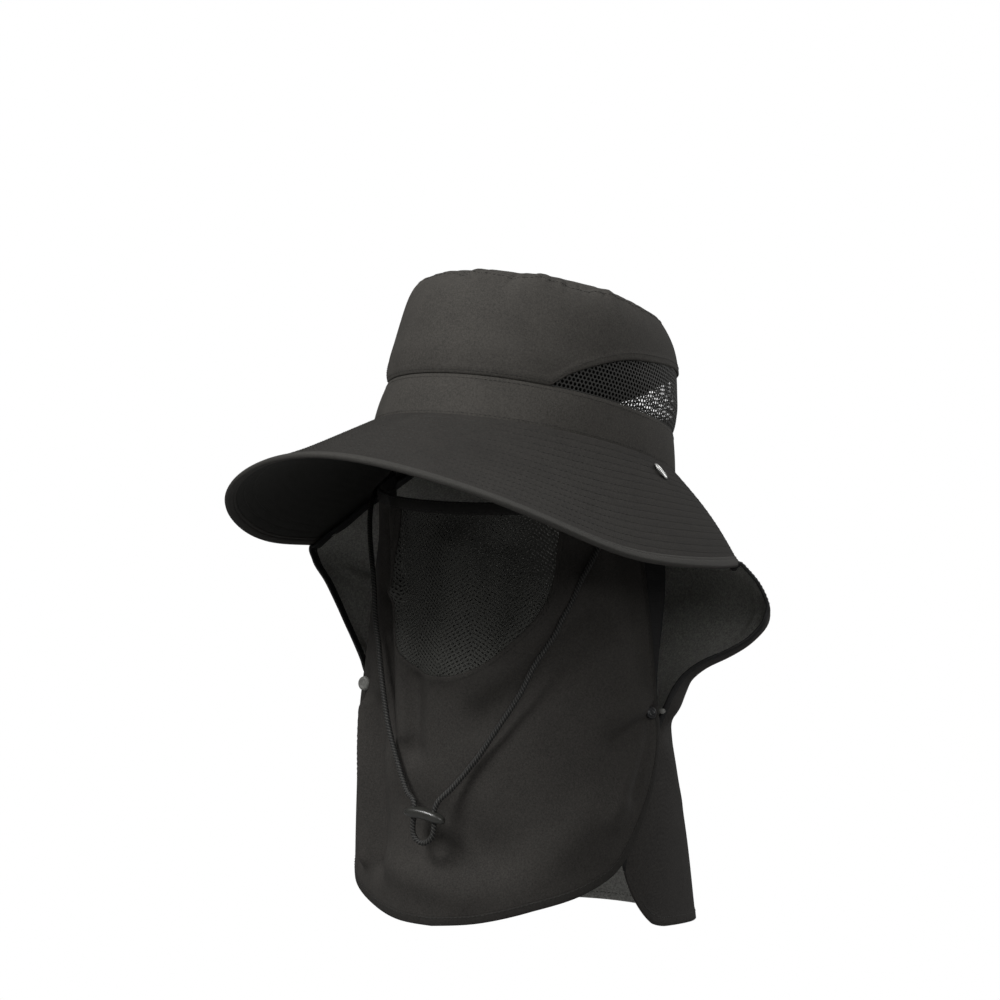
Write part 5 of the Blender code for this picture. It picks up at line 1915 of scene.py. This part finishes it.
    def build(self) -> None:
        """Make the veil's cloth, turned edges, top band, net, stitches and side strips."""
        cloth = self.cloth()
        others = [self.edges(), self.top(), self.net(),
                  self.stitches(), self.facing_and_shade(1.0),
                  self.facing_and_shade(-1.0)]


@dataclass
class Fittings(Part):
    """Snaps, chin cord and cord lock.

    Attributes:
        veil: Form that the snaps sit on.
        snap_height: Height of a snap.
        cord_diameter: Diameter of the cord.
        braid_pitch: Length in which a strand goes once round.
        strands: Strands each way round.
        lock_size: Width, height and depth of the lock.
        lock_centre: Its middle.
        lock_tilt: How far its right end hangs lower.
        course: Points that the cord follows, in millimetres.
    """

    veil: VeilForm
    snap_height: float = 0.0024
    cord_diameter: float = 0.0032
    braid_pitch: float = 0.0054
    strands: int = 3
    lock_size: tuple[float, float, float] = (0.0272, 0.0064, 0.008)
    lock_centre: tuple[float, float, float] = (-0.0007, -0.101, -0.195)
    lock_tilt: float = math.radians(6.5)
    course: Rows = CORD_ROUTE

    def line(self, count: int = 2600) -> Array:
        """The cord's middle line: a cubic curve through the course, evenly stepped.

        Between two points the curve is Hermite's, with tangents of half the distance
        between the neighbours (Catmull and Rom's), then evened out by a short average.
        """
        knots = np.array(self.course) / 1000.0
        ends = np.concatenate([2 * knots[:1] - knots[1:2], knots, 2 * knots[-1:] - knots[-2:-1]])
        tangent = 0.5 * (ends[2:] - ends[:-2])
        t = np.linspace(0.0, 1.0, 24, endpoint=False)[None, :, None]
        curve = hermite(t, knots[:-1, None], tangent[:-1, None], knots[1:, None],
                        tangent[1:, None])
        points = resample(np.concatenate([curve.reshape(-1, 3), knots[-1:]]), count)
        kernel = np.hanning(47)
        kernel = kernel / kernel.sum()
        padded = np.concatenate([np.repeat(points[:1], 23, axis=0), points,
                                 np.repeat(points[-1:], 23, axis=0)])
        evened = np.stack([np.convolve(padded[:, k], kernel, mode="valid") for k in range(3)],
                          axis=-1)
        evened[0], evened[-1] = points[0], points[-1]
        return evened

    def cord(self) -> tuple[Piece, Array]:
        """Braided tube round the line.

        Radius = 0.9 R + 0.1 R max(cos(n t + k s), cos(n t - k s)) for the angle t round
        the cord and the length s along it, n strands each way and k = 2 pi / pitch.

        Returns:
            The cord and its middle line.
        """
        path = self.line()
        ahead = unit(np.gradient(path, axis=0))
        outward = path - np.array([0.0, self.veil.centre_y, 0.0])
        outward[:, 2] = 0.0
        outward = unit(outward - np.sum(outward * ahead, axis=-1, keepdims=True) * ahead)
        sideways = np.cross(ahead, outward)
        sides = 16
        t = 2.0 * np.pi * np.arange(sides)[None, :] / sides
        s = arc_lengths(path)[:, None]
        wave = 2.0 * np.pi * s / self.braid_pitch
        first = np.cos(self.strands * t + wave * self.strands)
        second = np.cos(self.strands * t - wave * self.strands)
        braid = np.maximum(first, 0.55 * second)
        radius = 0.5 * self.cord_diameter * (0.9 + 0.1 * braid)
        points = path[:, None] + radius[..., None] * (
            np.cos(t)[..., None] * outward[:, None] + np.sin(t)[..., None] * sideways[:, None])
        rows = len(path)
        caps = [np.arange(sides)[None, ::-1], (rows - 1) * sides + np.arange(sides)[None]]
        flat = stack(s, t * 0.0016).reshape(-1, 2)
        faces = [grid_quads(rows, sides), *caps]
        # The crest mark is kept for the finish, which paints highlights on the crests
        parts = MeshParts(points.reshape(-1, 3), faces, [flat[block] for block in faces],
                          {"braid": (0.5 + 0.5 * braid).reshape(-1)})
        return self.seat(parts, "chin_cord_braid", "cord", Slot.CORD, "chin_cord",
                         doubles=1e-8, sharp=80.0), path

    def lock(self) -> Piece:
        """Arched glossy bar with two round throats for the cord.

        Its section is a rounded oval that shrinks as (1 - |p|^3.5)^0.5 to the ends p = 1
        and droops by 1.6 mm times p squared.
        """
        width, height, depth = self.lock_size
        centre = np.array(self.lock_centre)
        p = np.sin(np.linspace(-0.5 * np.pi, 0.5 * np.pi, 61))[:, None]
        t = 2.0 * np.pi * np.arange(40)[None, :] / 40
        size = np.sqrt(np.clip(1.0 - np.abs(p) ** 3.5, 0.0, 1.0))
        across = np.abs(np.cos(t)) ** 0.8 * np.sign(np.cos(t))
        upright = np.abs(np.sin(t)) ** 0.8 * np.sign(np.sin(t))
        along = 0.5 * width * p
        high = 0.5 * height * size * upright - 0.0016 * p * p
        c, s = math.cos(self.lock_tilt), math.sin(self.lock_tilt)
        grid = stack(along * c + high * s, 0.5 * depth * size * across,
                         high * c - along * s) + centre
        parts = MeshParts(grid.reshape(-1, 3), [grid_quads(*grid.shape[:2])])
        return self.seat(parts, "cord_lock_bar", "lock",
                         Slot.LOCK, "cord_lock", doubles=1e-5, sharp=60.0)

    def snap(self, name: str, degrees: float, z: float, radius: float, turned: float,
             finish: str, *replaced: str) -> Piece:
        """Snap cap: a low turned disc with a raised rim and a dimple.

        Args:
            name: Name of the piece.
            degrees: Angle round the face.
            z: Height.
            radius: Its radius.
            turned: How far it turns from the cloth's normal to the wearer's left front.
            finish: Name of its finish.
            replaced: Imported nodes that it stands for.

        Returns:
            The snap.
        """
        turn = np.array(degrees)
        place = self.veil.at(turn, np.array(z))
        normal = self.veil.normal(turn, np.array(z))
        base = place + normal * (0.00085 + 0.0008 * turned)
        normal = unit(normal + turned * np.array([0.54, -0.84, 0.0]))
        r, h = radius, self.snap_height
        outline = [(0.0, 0.0), (0.94 * r, 0.0), (r, 0.1 * h), (r, 0.4 * h), (0.97 * r, 0.58 * h),
                   (0.9 * r, 0.76 * h), (0.78 * r, 0.9 * h), (0.64 * r, 0.95 * h),
                   (0.5 * r, 0.9 * h), (0.42 * r, 0.8 * h), (0.3 * r, 0.84 * h),
                   (0.16 * r, 0.9 * h), (0.0, 0.92 * h)]
        return self.seat(lathe(outline, base, normal, 48), name, finish, Slot.SNAP, *replaced,
                         doubles=1e-6)

    def build(self) -> None:
        """Make the snaps, the lock and the cord, and work out the cord's length."""
        self.snap("snap_left_cap", 86.0, -0.1423, 0.0036, 0.0, "dark_snap", "snap_left")
        self.snap("snap_left_stud", 91.5, -0.1418, 0.0015, 0.2, "pale_snap")
        self.snap("snap_right_cap", -46.0, -0.1322, 0.0041, 1.0, "pale_snap", "snap_right")
        lock = self.lock()
        cord, path = self.cord()
        length = float(arc_lengths(path)[-1])
        tuple(path[0])
        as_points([tuple(point) for point in path[::6]] + [tuple(path[-1])])


# Studio


@dataclass
class Studio:
    """Camera of the photograph, soft lights and a plain pale sweep.

    Attributes:
        azimuth: Camera's angle from the front, toward the wearer's left.
        elevation: Camera's height angle.
        distance: Distance from the origin.
        pixels: Pixels for each metre at the origin, in the photograph.
        middle: Where the origin lies in the photograph.
        image: Side of the photograph in pixels.
    """

    azimuth: float = math.radians(33.0)
    elevation: float = math.radians(3.0)
    distance: float = 1.6
    pixels: float = 1729.0
    middle: tuple[float, float] = (525.5, 452.8)
    image: float = 1000.0

    def back(self) -> Vector:
        """Unit direction from the hat to the camera."""
        return Vector((math.sin(self.azimuth) * math.cos(self.elevation),
                       -math.cos(self.azimuth) * math.cos(self.elevation),
                       math.sin(self.elevation)))

    @staticmethod
    def hold(data: bpy.types.ID, place: Vector, away: Vector) -> Piece:
        """Put a camera or light at a place, its back turned to a direction."""
        holder = bpy.data.objects.new(data.name, data)
        bpy.context.scene.collection.objects.link(holder)
        holder.location = place
        holder.rotation_euler = away.to_track_quat("Z", "Y").to_euler()
        return holder

    def camera(self) -> None:
        """Place the camera; its lens and shift follow from the scale and the middle."""
        data = bpy.data.cameras.new("photo_camera")
        bpy.context.scene.camera = self.hold(data, self.back() * self.distance, self.back())
        data.sensor_width = 36.0
        data.lens = 36.0 * self.pixels * self.distance / self.image
        data.shift_x = (0.5 * self.image - self.middle[0]) / self.image
        data.shift_y = (self.middle[1] - 0.5 * self.image) / self.image

    def light(self, name: str, place: tuple[float, float, float], size: float,
              power: float) -> None:
        """Square soft light that looks at the hat."""
        data = bpy.data.lights.new(name, "AREA")
        data.size = size
        data.energy = power
        self.hold(data, Vector(place), Vector(place) - Vector((0.0, 0.0, -0.08)))

    def sweep(self) -> None:
        """Floor that curves up into a backdrop: a profile of arc and lines, carried in x.

        It glows white to the camera and gives the hat only a little light.
        """
        t = np.linspace(0.0, 0.5 * np.pi, 16)
        radius = 1.5
        y = np.concatenate([[-4.0], 3.0 + radius * np.sin(t), [4.5]])
        z = np.concatenate([[0.0], radius * (1.0 - np.cos(t)), [5.0]]) - 0.62
        x = np.linspace(-6.0, 6.0, 9)
        grid = stack(x, y[:, None], z[:, None])
        material, nodes, shader = Finish("pale_sweep", (0.3, 0.3, 0.3), 1.0).start()
        glow = nodes.add("Emission", {"Color": (1.0, 1.0, 1.0, 1.0), "Strength": 1.0})
        seen = nodes.add("LightPath").outputs["Is Camera Ray"]
        mixed = nodes.add("MixShader")
        nodes.feed(mixed.inputs[0], seen)
        nodes.feed(mixed.inputs[1], shader.outputs[0])
        nodes.feed(mixed.inputs[2], glow.outputs[0])
        out = material.node_tree.nodes["Material Output"]
        nodes.feed(out.inputs["Surface"], mixed.outputs[0])
        parts = MeshParts(grid.reshape(-1, 3), [grid_quads(len(y), 9, wrap=False)])
        parts.make("pale_sweep", material)

    def world(self) -> None:
        """Even dim light from all round, white where the camera sees past the sweep."""
        world = bpy.data.worlds.new("studio_air")
        bpy.context.scene.world = world
        world.use_nodes = True
        nodes = Nodes(world.node_tree)
        background = world.node_tree.nodes["Background"]
        background.inputs["Color"].default_value = (1.0, 1.0, 1.0, 1.0)
        seen = nodes.add("LightPath").outputs["Is Camera Ray"]
        nodes.feed(background.inputs["Strength"], nodes.fit(seen, 0.0, 1.0, 0.09, 1.0))

    def build(self) -> None:
        """Set up camera, lights, sweep and air."""
        self.camera()
        self.light("key_left", (-0.75, -1.5, 1.7), 0.9, 43.0)
        self.light("fill_front", (1.5, -1.3, 1.0), 1.1, 12.0)
        self.light("top_soft", (0.1, 0.2, 1.8), 1.3, 9.0)
        self.light("rear_soft", (0.7, 1.7, 0.6), 1.3, 10.0)
        self.sweep()
        self.world()
        bpy.context.scene.view_settings.view_transform = "Standard"


def main() -> None:
    """Build the hat's pieces in order and set up the studio."""
    logging.basicConfig(level=logging.INFO, format="%(name)s: %(message)s")
    Studio().build()
    finishes = make_finishes()
    hat = HatForm()
    veil = VeilForm()
    for part in (Fittings(finishes, veil), Crown(finishes, hat), Brim(finishes, hat),
                 Cape(finishes, CapeForm(hat=hat, veil=veil)), Veil(finishes, veil)):
        part.build()


if __name__ == "__main__":
    main()
